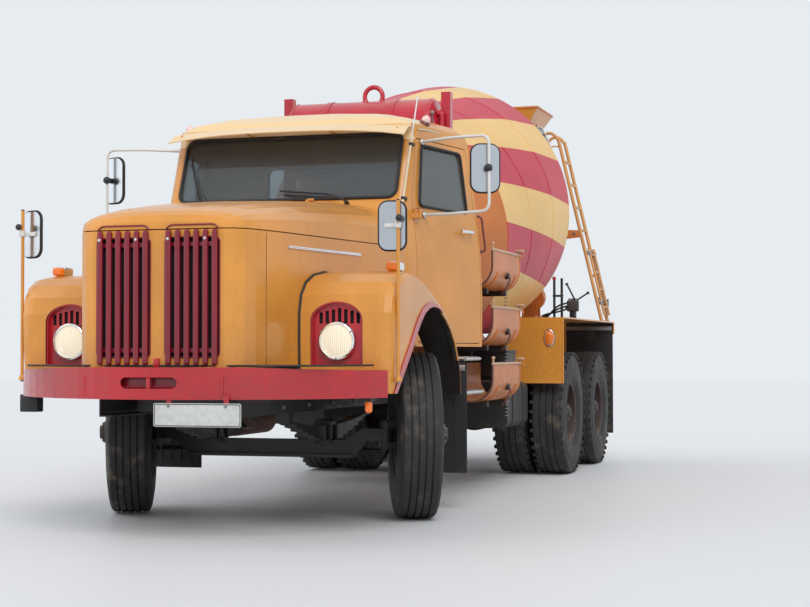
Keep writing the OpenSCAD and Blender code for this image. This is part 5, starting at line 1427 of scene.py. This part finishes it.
class TRUCK_OT_cab_interior(PieceOperator):
    """Seats, dash, steering wheel and floor covering"""
    bl_idname = "truck.cab_interior"
    bl_label = "Cab Interior"

    def make(self):
        for name, side in BOTH_SIDES:
            x = side * SEAT_X
            slab(f"seat_base_{name}", at(x - 0.205, 0.66, 1.147), at(x + 0.205, 1.10, 1.475), "plastic",
                 bevel=0.012)
            self.pad(f"seat_cushion_{name}", at(x, 0.880, 1.545), (0.452, 0.472, 0.140), 0, 2)
            self.pad(f"seat_back_{name}", at(x, 1.147, 1.84), (0.432, 0.095, 0.530), -8, 1)
        outline = [(0.240, 1.700), (0.300, 1.702), (0.428, 1.880), (0.428, 1.948), (0.330, 2.020),
                   (0.272, 2.020), (0.242, 1.955)]
        dash = plate("dash", outline, 1.56, at(-0.78, 0, 0), BACK, UP, 0.008)
        dressed(dash, "plastic")
        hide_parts("cab_interior")
        binnacle = block("binnacle", at(0.27, 0.36, 1.955), at(0.59, 0.455, 2.045), 0.02, 3)
        dressed(binnacle, "plastic")
        for i, (x, radius) in enumerate(((0.34, 0.036), (0.43, 0.045), (0.52, 0.036))):
            place = at(x, 0.4555, 2.0)
            dressed(dome(f"dial_{i}", radius * 0.92, 0.004, place, BACK, 32), "glass")
            dressed(ring(f"dial_ring_{i}", radius * 0.95, 0.004, place, BACK, 32), "chrome")
        self.steering_wheel()
        slab("floor_mat", at(-0.76, 0.26, 1.1465), at(0.76, 1.24, 1.152), "rubber", bevel=0.002)
        for i, x in enumerate((0.30, 0.40, 0.53)):
            lean = [at(x, 0.30, 1.33), at(x, 0.34, 1.20), at(x, 0.40, 1.155)]
            dressed(tube(f"pedal_arm_{i}", lean, 0.008, 0.03, 3), "chassis")
            slab(f"pedal_{i}", at(x - 0.032, 0.335, 1.262), at(x + 0.032, 0.350, 1.340), "rubber",
                 bevel=0.004)
        lever = [at(0.10, 0.62, 1.15), at(0.12, 0.64, 1.42), at(0.16, 0.70, 1.62)]
        dressed(tube("gear_lever", lever, 0.009, 0.1, 4), "steel")
        dressed(dome("gear_knob", 0.026, 0.034, at(0.158, 0.697, 1.612), (0.2, 0.2, 1), 24), "plastic")
        slab("parcel_shelf", at(-0.76, 1.20, 1.20), at(0.76, 1.262, 1.70), "lining", bevel=0.01)

    def pad(self, name, middle, size, lean, thin):
        """Crowned cushion with pulled-in sides and sewn channels, thin along the axis of that number."""
        bpy.ops.object.select_all(action="DESELECT")
        bpy.ops.mesh.primitive_cube_add(size=1, location=(0, 0, 0))
        piece = named(name)
        piece.scale = size
        settle(piece)
        edit(piece)
        bpy.ops.mesh.subdivide(number_cuts=9)
        leave()
        wide = [a for a in range(3) if a != thin]
        for vertex in piece.data.vertices:
            place = vertex.co
            shares = [place[a] / (size[a] / 2) for a in range(3)]
            first, second = shares[wide[0]], shares[wide[1]]
            crown = (1 - first ** 4) * (1 - second ** 4)
            place[thin] *= 0.66 + 0.34 * crown
            for a, other in ((wide[0], second), (wide[1], first)):
                place[a] *= 1 - 0.035 * (1 - other ** 2) * abs(shares[a]) - 0.02 * shares[thin] ** 2
            groove = abs(math.sin(math.pi * 3 * (place[0] / size[0] + 0.5)))
            if abs(shares[thin]) > 0.6:
                place[thin] -= math.copysign(0.010 * max(0, 0.35 - groove) / 0.35 * crown, place[thin])
        modified(piece, "SUBSURF", levels=2, render_levels=2)
        piece.rotation_euler = (math.radians(lean), 0, 0)
        piece.location = middle
        settle(piece)
        dressed(smooth(piece, 70), "seat")

    def steering_wheel(self):
        """Thin rim, three spokes, boss and column."""
        hub = at(0.43, 0.52, 1.85)
        tilt = Vector((0, -math.sin(math.radians(-62)), math.cos(math.radians(-62))))
        dressed(ring("steering_rim", 0.235, 0.0125, hub, tilt, 64), "plastic")
        rings = [(0.058, -0.014), (0.058, 0.010), (0.046, 0.018), (0.02, 0.022)]
        dressed(turned("steering_boss", rings, hub, tilt, 40), "plastic")
        up = tilt.cross(LEFT)
        spokes = []
        for a in (30, 150, 270):
            way = LEFT * math.cos(math.radians(a)) + up * math.sin(math.radians(a))
            spokes.append(bar("spoke", hub + way * 0.05, hub + way * 0.226, 0.0085))
        dressed(joined("steering_spokes", spokes), "plastic")
        dressed(bar("steering_column", hub - tilt * 0.012, at(0.43, 0.335, 1.745), 0.024, 6), "plastic")


class TRUCK_OT_steps(PieceOperator):
    """Bright treads and edges of the cab steps"""
    bl_idname = "truck.steps"
    bl_label = "Step Treads"

    def make(self):
        for name, side in BOTH_SIDES:
            for part, low_y, high_y, half, z, rows in (("low", 0.70, 1.18, 1.14, 0.80, 9),
                                                       ("high", 0.76, 1.18, 1.12, 1.03, 8)):
                low, high = sorted_x(side, STEP_ROOT, half + 0.002)
                slab(f"tread_{part}_{name}", at(low, low_y - 0.003, z), at(high, high_y, z + 0.004), "bright",
                     bevel=0.0015)
                edge = [at(side * (half + 0.001), y, z - 0.010) for y in (low_y, high_y)]
                dressed(bar(f"tread_edge_{part}_{name}", *edge, 0.0135, 5), "bright")
                front = [at(side * x, low_y - 0.001, z - 0.010) for x in (STEP_ROOT, half + 0.001)]
                dressed(bar(f"tread_front_{part}_{name}", *front, 0.0135, 5), "bright")
                stud = turned("stud", [(0.009, 0), (0.006, 0.003), (0.002, 0.0035)], sides=10)
                places = []
                for i in range(5):
                    for j in range(rows):
                        x = side * (0.90 + 0.045 * i + (0.022 if j % 2 else 0))
                        places.append(Matrix.Translation(at(x, low_y + 0.03 + 0.05 * j, z + 0.004)))
                dressed(copies(stud, f"tread_studs_{part}_{name}", places), "bright")


TANK_CENTRE = (1.585, 2.712)
TANK_RADIUS = 0.235


class TRUCK_OT_tank_fittings(PieceOperator):
    """Strap bolts, welds, outlet pipe and sight glass of the water tank"""
    bl_idname = "truck.tank_fittings"
    bl_label = "Water Tank Fittings"

    def make(self):
        y, z = TANK_CENTRE
        for i, x in enumerate((-0.11, 0.40)):
            low = z - 0.2435 * math.sin(0.2)
            places = [(at(x, y + s * 0.2435 * math.cos(0.2), low), Vector((0, s, -0.2))) for s in SIDES]
            bolts(f"strap_bolts_{i}", places, "tank", width=0.018)
        welds = [ring("weld", TANK_RADIUS + 0.001, 0.0035, at(x, y, z), LEFT, 64) for x in (-0.375, 0.675)]
        dressed(joined("tank_welds", welds), "tank")
        feet = [dome("ring_foot", 0.030, 0.014, at(0.208 + s * 0.066, y, z + 0.232), UP, 24) for s in (-1, 1)]
        dressed(joined("lifting_ring_feet", feet), "tank")
        x, pipe_y = 0.752, y - 0.06
        route = [at(0.722, pipe_y, z + 0.12), at(x, pipe_y, z + 0.12), at(x, pipe_y, z - 0.36),
                 at(x, y - 0.03, z - 0.40), at(x, 2.0, z - 0.60), at(0.56, 2.3, 1.08)]
        dressed(tube("tank_outlet", route, 0.017, 0.05, 4), "tank")
        rings = [(0.028, 0), (0.028, 0.022), (0.024, 0.026)]
        nuts = [turned("nut", rings, at(0.724, pipe_y, z + 0.12), LEFT, 6, angle=20),
                turned("nut", [(0.026, 0), (0.026, 0.03)], at(x, pipe_y, z - 0.05), UP, 6, angle=20)]
        dressed(joined("tank_outlet_nuts", nuts), "tank")
        dressed(bar("tank_tap", at(x, pipe_y, z - 0.035), at(x, y - 0.13, z - 0.035), 0.006), "steel")
        glass = [at(0.706, y - 0.16, z + dz) for dz in (-0.11, 0.11)]
        dressed(bar("sight_glass", *glass, 0.009), "glass")
        clips = []
        for s in SIDES:
            low, high = z + s * 0.11 - 0.012, z + s * 0.11 + 0.012
            clips.append(block("clip", at(0.69, y - 0.175, low), at(0.722, y - 0.145, high), 0.003))
        dressed(joined("sight_glass_clips", clips), "steel")
        places = [(at(x, y - 0.0105, h), FRONT) for x in (-0.47, 0.77) for h in (1.10, 2.44, 2.50)]
        bolts("stand_bolts", places, "steel", width=0.022)


class TRUCK_OT_drum_fittings(PieceOperator):
    """Welds, hatch and ring stops of the drum"""
    bl_idname = "truck.drum_fittings"
    bl_label = "Drum Fittings"

    def make(self):
        welds = []
        for along, radius in ((0.0, 1.0), (0.62, 1.06), (1.24, 1.12), (2.55, 0.859)):
            welds.append(ring("weld", radius + 0.0005, 0.003, DRUM_SEAM + DRUM_AXIS * along, DRUM_AXIS, 120))
        dressed(joined("drum_welds", welds), "drum", "drum")
        stops = []
        for i in range(16):
            turn = math.tau * i / 16 + 0.1
            out = on_drum(RING_DISTANCE, 1, turn) - on_drum(RING_DISTANCE, 0, turn)
            for s in SIDES:
                spot = on_drum(RING_DISTANCE + s * 0.072, 0.937 + s * -0.03, turn)
                stops.append(turned_frame(spot, DRUM_AXIS, out))
        stop = block("stop", (-0.022, -0.018, -0.05), (0.022, 0.018, 0.022), 0.004, 1)
        dressed(copies(stop, "ring_stops", stops), "drum", "drum")
        turn = math.radians(118)
        out = on_drum(0.6, 1, turn) - on_drum(0.6, 0, turn)
        around = DRUM_AXIS.cross(out)
        outline = round_box(0.44, 0.34, 0.07)
        hatch = plate("drum_hatch", outline, 0.016, on_drum(0.62, 1.054, turn), DRUM_AXIS, around, 0.003)
        dressed(hatch, "drum", "drum")
        places = [(on_drum(0.62 + u, 1.070, turn) + around * v * s, out)
                  for s in (-1, 1) for u, v in ((-0.19, 0.13), (0, 0.14), (0.19, 0.13))]
        bolts("hatch_bolts", places, "steel", "drum", 0.022)
        mouth = DRUM_SEAM + DRUM_AXIS * 3.193
        dressed(ring("drum_mouth_bead", 0.60, 0.011, mouth, DRUM_AXIS, 96), "drum", "drum")


class TRUCK_OT_hopper_fittings(PieceOperator):
    """Rim, post plates, stays, clear guard and rinse pipe of the hopper, and the collector's beads"""
    bl_idname = "truck.hopper_fittings"
    bl_label = "Hopper Fittings"

    def make(self):
        rim = [at(x, y, 3.459) for x, y in ((0.606, 5.604), (0.606, 6.326), (-0.606, 6.326), (-0.606, 5.604))]
        dressed(tube("hopper_rim", rim, 0.0125, 0.03, 4, cyclic=True), "mixer")
        for name, side in BOTH_SIDES:
            low, high = sorted_x(side, 0.352, 0.416)
            for z in (2.99, 1.90):
                slab(f"post_plate_{int(z * 100)}_{name}", at(low, 6.042, z - 0.05), at(high, 6.108, z + 0.05),
                     "mixer", bevel=0.004)
                places = [(at(side * 0.4165, 6.075, z + dz), Vector((side, 0, 0))) for dz in (-0.026, 0.026)]
                bolts(f"post_bolts_{int(z * 100)}_{name}", places, "steel", width=0.018)
            stay = [at(side * 0.385, 6.06, 2.60), at(side * 0.42, 5.98, 3.02), at(side * 0.52, 5.95, 3.36)]
            dressed(tube(f"hopper_stay_{name}", stay, 0.013, 0.1, 4), "chassis")
            x = side * 0.395
            dressed(bar(f"post_brace_{name}", at(x, 5.56, 1.42), at(x, 6.03, 2.10), 0.018), "mixer")
        corners = [(0.535, 3.285), (0.610, 3.285), (0.715, 3.050), (0.635, 3.035)]
        low = Vector(corners[3])
        outline = [(x - low.x, z - low.y) for x, z in corners]
        dressed(plate("splash_guard", outline, 0.004, at(low.x, 5.79, low.y), edge=0.001), "glass")
        edge = [at(x, 5.79, z) for x, z in corners]
        dressed(tube("splash_frame", edge, 0.007, 0.02, 3, cyclic=True), "white")
        dressed(bar("splash_bracket", at(0.69, 5.79, 3.09), at(0.79, 5.83, 3.09), 0.008), "ladder")
        pipe = [at(-0.43, 5.99, 1.10), at(-0.43, 5.99, 2.30), at(-0.44, 6.00, 2.95), at(-0.66, 6.02, 3.30),
                at(-0.635, 5.98, 3.44), at(-0.56, 5.96, 3.40)]
        dressed(tube("hopper_rinse_pipe", pipe, 0.011, 0.08, 4), "rubber")
        dressed(ring("collector_lip", 0.309, 0.008, at(0, 6.11, 1.897), UP, 64), "mixer")
        dressed(ring("collector_mouth", 0.117, 0.007, at(0, 6.50, 1.627), UP, 40), "mixer")


class TRUCK_OT_ladder_fittings(PieceOperator):
    """Slide-down lower section, head loops, bracket and catch of the ladder"""
    bl_idname = "truck.ladder_fittings"
    bl_label = "Ladder Fittings"

    def make(self):
        foot, head = Vector((1.190, 0, 1.3643)), Vector((0.765, 0, 3.170))
        way = (head - foot).normalized()
        out = Vector((way.z, 0, -way.x))
        reach = (head - foot).length

        def on_rail(share, across, off):
            spot = foot + way * (reach * share) + out * off
            return at(spot.x, LADDER_Y + across, spot.z)

        low = [bar("rail", on_rail(0.03, s * 0.130, 0.036), on_rail(0.395, s * 0.130, 0.036), 0.0125)
               for s in SIDES]
        low += [bar("rung", on_rail(t, -0.130, 0.036), on_rail(t, 0.130, 0.036), 0.010)
                for t in (0.075, 0.17, 0.265, 0.36)]
        dressed(joined("ladder_slide", low), "ladder")
        guides, half = [], Vector((0.030, 0.024, 0.022))
        for t in (0.10, 0.37):
            for s in SIDES:
                spot = on_rail(t, s * 0.147, 0.018)
                guides.append(block("guide", spot - half, spot + half, 0.005))
        dressed(joined("ladder_guides", guides), "steel")
        for end, s in (("rear", 1), ("front", -1)):
            loop = [on_rail(share, s * LADDER_HALF, off) for share, off in
                    ((0.93, 0), (1.0, 0), (1.045, -0.06), (1.035, -0.155), (0.985, -0.19))]
            dressed(tube(f"ladder_loop_{end}", loop, 0.0155, 0.07, 4), "ladder")
        outline = [(0, 0.06), (0.52, 0.035), (0.52, -0.035), (0, -0.09)]
        dressed(plate("ladder_bracket", outline, 0.012, at(0.42, 6.055, 2.24), edge=0.002), "mixer")
        bolts("ladder_bracket_bolts", [(at(x, 6.042, 2.24), FRONT) for x in (0.47, 0.88)], "steel",
              width=0.02)
        dressed(bar("ladder_catch", at(1.160, 6.16, 1.56), at(1.185, 6.205, 1.55), 0.009), "chassis")
        dressed(bar("ladder_catch_grip", at(1.185, 6.20, 1.51), at(1.185, 6.20, 1.59), 0.009), "chassis")
        feet = []
        for s in SIDES:
            y = LADDER_Y + s * LADDER_HALF
            feet.append(block("foot", at(1.165, y - 0.03, 1.361), at(1.218, y + 0.03, 1.372), 0.003))
        dressed(joined("ladder_feet", feet), "steel")


# Heights of the spare chutes' upper edges, and the middle and outer edge of all three
SPARE_CHUTES = (0.975, 1.385, 1.800)
CHUTE_X, CHUTE_EDGE_X = 1.015, 1.176


class TRUCK_OT_spare_chute_fittings(PieceOperator):
    """Rods, pins, latches, hooks, chains, cradles and rims of the three spare chutes"""
    bl_idname = "truck.spare_chute_fittings"
    bl_label = "Spare Chute Fittings"

    def make(self):
        for number, top in enumerate(SPARE_CHUTES, 1):
            self.dress_chute(number, top)

    def section(self, radius, y, top, drop=0.0):
        """Points round a chute's outside, from its inner top edge down and up to its outer top edge."""
        centre = top - 0.11
        arc = [at(CHUTE_X + radius * math.cos(a), y, centre + radius * math.sin(a))
               for a in (math.pi + math.pi * k / 12 for k in range(13))]
        return [at(CHUTE_X - radius, y, top - drop)] + arc + [at(CHUTE_X + radius, y, top - drop)]

    def dress_chute(self, tag, top):
        x = CHUTE_EDGE_X
        for y, part, finish in ((1.364, "front", "rusty"), (2.246, "rear", "mixer")):
            dressed(tube(f"chute_rim_{part}_{tag}", self.section(0.158, y, top), 0.0075, 0, 4), finish)
        rod = [at(x, y, top + 0.008) for y in (1.352, 2.262)]
        dressed(bar(f"chute_rod_{tag}", *rod, 0.0095, 5), "pale_bar")
        edge = [at(0.856, y, top + 0.004) for y in (1.36, 2.25)]
        dressed(bar(f"chute_edge_{tag}", *edge, 0.007), "mixer")
        pins = [bar("post", at(x, y, top - 0.005), at(x, y, top + 0.052), 0.008) for y in (1.372, 2.225)]
        pins.append(dome("knob", 0.014, 0.016, at(x, 1.372, top + 0.046), UP, 20))
        dressed(joined(f"chute_pins_{tag}", pins), "pale_bar")
        low, high = at(1.150, 2.19, top + 0.034), at(1.212, 2.252, top + 0.050)
        slab(f"chute_latch_{tag}", low, high, "pale_bar", bevel=0.004)
        tongue = [at(1.200, 2.225, top + 0.040), at(1.204, 2.225, top - 0.020)]
        dressed(bar(f"chute_tongue_{tag}", *tongue, 0.006), "mixer")
        out = Vector((math.cos(-0.35), 0, math.sin(-0.35)))
        centre = at(CHUTE_X, 1.84, top - 0.11)
        rings = [(0.026, 0), (0.026, 0.016), (0.016, 0.024), (0.010, 0.026)]
        dressed(turned(f"chute_boss_{tag}", rings, centre + out * 0.158, out, 32), "chassis")
        hook = [centre + out * reach + Vector((0, y, z)) for reach, y, z in
                ((0.176, 0, 0), (0.196, -0.02, -0.01), (0.192, -0.07, -0.055), (0.170, -0.085, -0.11),
                 (0.135, -0.06, -0.145))]
        dressed(tube(f"chute_hook_{tag}", hook, 0.008, 0.05, 4), "rusty")
        for j, y in enumerate((1.54, 2.13)):
            under = self.section(0.164, y, top, 0.08)[5:13]
            dressed(tube(f"chute_cradle_{j}_{tag}", under, 0.006, 0, 3), "mixer")
        link = ring("link", 0.013, 0.0032, (0, 0, 0), LEFT, 14, 0.7)
        places = []
        for k in range(6):
            spot = centre + out * 0.15 + Vector((0, 0.05 - 0.006 * k, -0.09 - 0.026 * k))
            places.append(turned_to(LEFT if k % 2 else BACK, spot, math.pi / 2))
        dressed(copies(link, f"chute_chain_{tag}", places), "steel")


class TRUCK_OT_controls(PieceOperator):
    """Levers, valve block and hoses by the left mudguard"""
    bl_idname = "truck.controls"
    bl_label = "Drum Controls"

    def make(self):
        slab("control_plate", at(0.66, 5.86, 1.362), at(1.00, 6.04, 1.374), "chassis")
        y = 5.92
        for i, x in enumerate((0.70, 0.775)):
            dressed(bar(f"control_post_{i}", at(x, y, 1.372), at(x, y, 1.795), 0.013, 4), "chassis")
        dressed(bar("control_cross", at(0.685, y, 1.62), at(0.79, y, 1.62), 0.011), "chassis")
        dressed(dome("control_knob_red", 0.020, 0.030, at(0.70, y, 1.785), (0, -0.2, 1), 24), "bumper")
        slab("valve_pedestal", at(0.845, 5.95, 1.374), at(0.905, 6.01, 1.47), "chassis")
        slab("valve_block", at(0.82, 5.935, 1.465), at(0.93, 6.02, 1.575), "casting", bevel=0.012)
        rings = [(0.016, 0), (0.016, 0.018), (0.009, 0.024)]
        caps = [turned("cap", rings, at(x, 5.97, 1.572), UP, 6, angle=20) for x in (0.845, 0.875, 0.905)]
        dressed(joined("valve_caps", caps), "steel")
        handles = (((0.80, 5.965, 1.50), (1.02, 5.985, 1.645)), ((0.905, 5.95, 1.57), (0.825, 5.94, 1.73)))
        for i, (start, end) in enumerate(handles):
            dressed(bar(f"control_lever_{i}", at(*start), at(*end), 0.0085, 4), "chassis")
            dressed(dome(f"control_grip_{i}", 0.017, 0.020, at(*end), at(*end) - at(*start), 20), "plastic")
        for i, z in enumerate((1.49, 1.52, 1.55)):
            line = [at(0.822, 5.96, z), at(0.74, 5.90 - 0.02 * i, z - 0.03), at(0.60, 5.93, 1.44 - 0.03 * i),
                    at(0.46, 5.98, 1.36 + 0.03 * i), at(0.44, 5.93, 1.06)]
            dressed(tube(f"control_hose_{i}", line, 0.009, 0.08, 3), "rubber")


class TRUCK_OT_mudguard_fittings(PieceOperator):
    """Folds, bolts and stiffeners of mudguards, flaps and side tanks"""
    bl_idname = "truck.mudguard_fittings"
    bl_label = "Mudguard and Flap Fittings"

    def make(self):
        for name, side in BOTH_SIDES:
            x = side * GUARD_EDGE_X
            edge = [at(x, y, z) for y, z in ((3.604, 0.806), (3.604, 1.357), (6.195, 1.357), (6.195, 1.245))]
            dressed(tube(f"guard_fold_{name}", edge, 0.0075, 0.01, 4), "body")
            low, high = sorted_x(side, 0.745, GUARD_EDGE_X)
            dressed(bar(f"guard_hem_{name}", at(low, 3.604, 0.806), at(high, 3.604, 0.806), 0.0075), "body")
            places = [(at(side * x, y, 1.3605), UP) for x in (0.765, 1.0) for y in (3.64, 4.875, 6.06)]
            bolts(f"guard_bolts_{name}", places, "steel", width=0.02)
            places = [(at(side * 0.775, 3.599, z), FRONT) for z in (0.9, 1.25)]
            bolts(f"guard_panel_bolts_{name}", places, "steel", width=0.018)
            for part, y, fore, aft, inner, outer, z in (("front", 0.6485, -0.006, 0, 0.79, 1.155, 0.96),
                                                        ("rear", 6.1875, -0.002, 0.0045, 0.76, 1.225, 1.30)):
                low, high = sorted_x(side, inner, outer)
                slab(f"flap_bar_{part}_{name}", at(low, y + fore, z - 0.02), at(high, y + aft, z + 0.02),
                     "steel", bevel=0.0015)
                ribs = [tube("rib", [at(side * x, y, 0.30), at(side * x, y, z - 0.05)], 0.0035, 0, 2)
                        for x in (inner + (outer - inner) * k / 5 for k in range(1, 5))]
                dressed(joined(f"flap_ribs_{part}_{name}", ribs), "rubber")
            self.side_tank(name, side)

    def side_tank(self, name, side):
        """Straps, cap and drain of a side tank, and the battery box ahead of it."""
        for j, y in enumerate((2.83, 3.22)):
            strap = [at(side * 0.77 + u, y, 0.64 + v) for u, v in round_box(0.426, 0.366, 0.062)]
            dressed(tube(f"tank_strap_{j}_{name}", strap, 0.0065, 0, 2, cyclic=True), "chassis")
        for part, xs, ys, zs, finish, bevel in (
                ("box", (0.455, 1.06), (2.30, 2.62), (0.885, 1.065), "chassis", 0.012),
                ("lid", (0.450, 1.066), (2.294, 2.626), (1.058, 1.082), "plastic", 0.008),
                ("bracket", (FRAME_X, 0.60), (2.36, 2.56), (0.90, 0.925), "chassis", 0.003)):
            low, high = (at(*corner) for corner in zip(sorted_x(side, *xs), ys, zs))
            slab(f"battery_{part}_{name}", low, high, finish, bevel=bevel)
        rings = [(0.042, 0), (0.042, 0.012), (0.050, 0.014), (0.050, 0.034), (0.040, 0.040)]
        cap = turned(f"fuel_cap_{name}", rings, at(side * 0.88, 3.02, 0.815), (side * 0.3, 0, 1), 36)
        dressed(cap, "steel")
        bolts(f"tank_drain_{name}", [(at(side * 0.77, 3.02, 0.461), DOWN)], "steel", width=0.026)


class TRUCK_OT_chassis_fittings(PieceOperator):
    """Frame bolts, air tanks, brake chambers, hoses, spring clips and exhaust"""
    bl_idname = "truck.chassis_fittings"
    bl_label = "Chassis Fittings"

    def make(self):
        rows = []
        for side in SIDES:
            for i in range(16):
                rows += [(at(side * 0.4305, -0.9 + 0.45 * i, z), Vector((side, 0, 0))) for z in (0.74, 0.92)]
        bolts("frame_bolts", rows, "steel", width=0.022)
        for name, side in BOTH_SIDES:
            self.clips(name, side)
            self.chambers(name, side)
        for i, y in enumerate((1.45, 2.10)):
            self.air_tank(i, y)
        self.exhaust()

    def air_tank(self, i, y):
        """Air tank on two brackets beside the frame."""
        x, z = -0.60, 0.86
        rings = [(0.06, -0.012), (0.108, 0.012), (0.12, 0.045), (0.12, 0.465), (0.108, 0.498), (0.06, 0.522)]
        dressed(turned(f"air_tank_{i}", rings, at(x, y, z), BACK, 40), "chassis")
        for k, band_y in enumerate((y + 0.10, y + 0.41)):
            dressed(ring(f"air_tank_band_{i}_{k}", 0.121, 0.005, at(x, band_y, z), BACK, 40), "steel")
            low, high = at(-0.50, band_y - 0.02, 0.82), at(-FRAME_X, band_y + 0.02, 0.90)
            slab(f"air_tank_bracket_{i}_{k}", low, high, "chassis")
        line = [at(x, y + 0.52, z), at(-0.58, y + 0.58, 0.88), at(-0.45, y + 0.62, 0.90)]
        dressed(tube(f"air_line_{i}", line, 0.007, 0.03, 3), "rubber")

    def exhaust(self):
        """Silencer on two hangers, with the pipes to and from it."""
        x, z = -0.62, 0.56
        rings = [(0.04, -0.03), (0.085, 0), (0.095, 0.03), (0.095, 0.62), (0.085, 0.65), (0.04, 0.68)]
        dressed(turned("silencer", rings, at(x, 0.84, z), BACK, 40), "rusty")
        pipe = [at(-0.26, 0.10, 0.66), at(-0.32, 0.45, 0.58), at(-0.42, 0.66, z), at(-0.60, 0.76, z),
                at(x, 0.86, z)]
        dressed(tube("exhaust_pipe", pipe, 0.036, 0.08, 5), "rusty")
        tail = [at(x, 1.50, z), at(x, 1.66, z), at(-0.80, 1.92, 0.54), at(-1.06, 2.04, 0.52)]
        dressed(tube("tail_pipe", tail, 0.034, 0.12, 5), "rusty")
        for i, y in enumerate((0.96, 1.38)):
            hanger = [at(x, y, 0.65), at(-0.60, y, 0.71), at(-FRAME_X, y, 0.74)]
            dressed(tube(f"silencer_hanger_{i}", hanger, 0.009, 0.03, 3), "chassis")

    def clips(self, name, side):
        """U-bolts over the front springs."""
        made = []
        for y in (-0.062, 0.062):
            loop = [at(side * 0.385 + dx, y, z)
                    for dx, z in ((-0.048, 0.47), (-0.048, 0.628), (0.048, 0.628), (0.048, 0.47))]
            made.append(tube("clip", loop, 0.009, 0.03, 4))
        dressed(joined(f"spring_clips_{name}", made), "chassis")

    def chambers(self, name, side):
        """Brake chambers beside the rear axles' casings, each with a hose to the frame."""
        for i, y in enumerate(REAR_AXLES):
            x = side * 0.30
            rings = [(0.05, 0), (0.072, 0.012), (0.076, 0.05), (0.080, 0.052), (0.080, 0.062), (0.072, 0.066),
                     (0.060, 0.11), (0.03, 0.122)]
            place = at(x, y - 0.11, 0.60)
            dressed(turned(f"brake_chamber_{i}_{name}", rings, place, (0, -1, 0.25), 32), "chassis")
            slab(f"chamber_bracket_{i}_{name}", at(x - 0.03, y - 0.115, 0.57), at(x + 0.03, y - 0.06, 0.63),
                 "chassis")
            line = [at(x, y - 0.23, 0.63), at(x, y - 0.27, 0.70), at(side * 0.33, y - 0.20, 0.82),
                    at(side * 0.345, y - 0.10, 0.88)]
            dressed(tube(f"brake_hose_{i}_{name}", line, 0.007, 0.06, 3), "rubber")


class TRUCK_PT_panel(bpy.types.Panel):
    """Lists the truck's settings and pieces"""
    bl_idname = "TRUCK_PT_panel"
    bl_label = "Mixer Truck"
    bl_space_type = "VIEW_3D"
    bl_region_type = "UI"
    bl_category = "Mixer Truck"

    def draw(self, context):
        for group in (context.scene.truck_colours, context.scene.truck_sizes):
            column = self.layout.column(align=True)
            for key in group.__annotations__:
                column.prop(group, key)
        for operator in MAKERS:
            self.layout.operator(operator.bl_idname)


# Operators in the order in which they run
MAKERS = (TRUCK_OT_stage, TRUCK_OT_finishes, TRUCK_OT_tyres, TRUCK_OT_wheel_fittings, TRUCK_OT_headlights,
          TRUCK_OT_lamps, TRUCK_OT_bumper_fittings, TRUCK_OT_grille_fittings, TRUCK_OT_bonnet_trim,
          TRUCK_OT_screens, TRUCK_OT_door_fittings, TRUCK_OT_mirrors, TRUCK_OT_roof_fittings,
          TRUCK_OT_cab_interior, TRUCK_OT_steps, TRUCK_OT_tank_fittings, TRUCK_OT_drum_fittings,
          TRUCK_OT_hopper_fittings, TRUCK_OT_ladder_fittings, TRUCK_OT_spare_chute_fittings,
          TRUCK_OT_controls, TRUCK_OT_mudguard_fittings, TRUCK_OT_chassis_fittings)
CLASSES = (TruckColours, TruckSizes, *MAKERS, TRUCK_PT_panel)


def register():
    for kind in CLASSES:
        bpy.utils.register_class(kind)
    bpy.types.Scene.truck_colours = bpy.props.PointerProperty(type=TruckColours)
    bpy.types.Scene.truck_sizes = bpy.props.PointerProperty(type=TruckSizes)


def unregister():
    del bpy.types.Scene.truck_sizes
    del bpy.types.Scene.truck_colours
    for kind in reversed(CLASSES):
        bpy.utils.unregister_class(kind)


def main():
    register()
    bpy.context.scene.view_settings.view_transform = "Standard"
    for operator in MAKERS:
        group, name = operator.bl_idname.split(".")
        getattr(getattr(bpy.ops, group), name)()


if __name__ == "__main__":
    main()
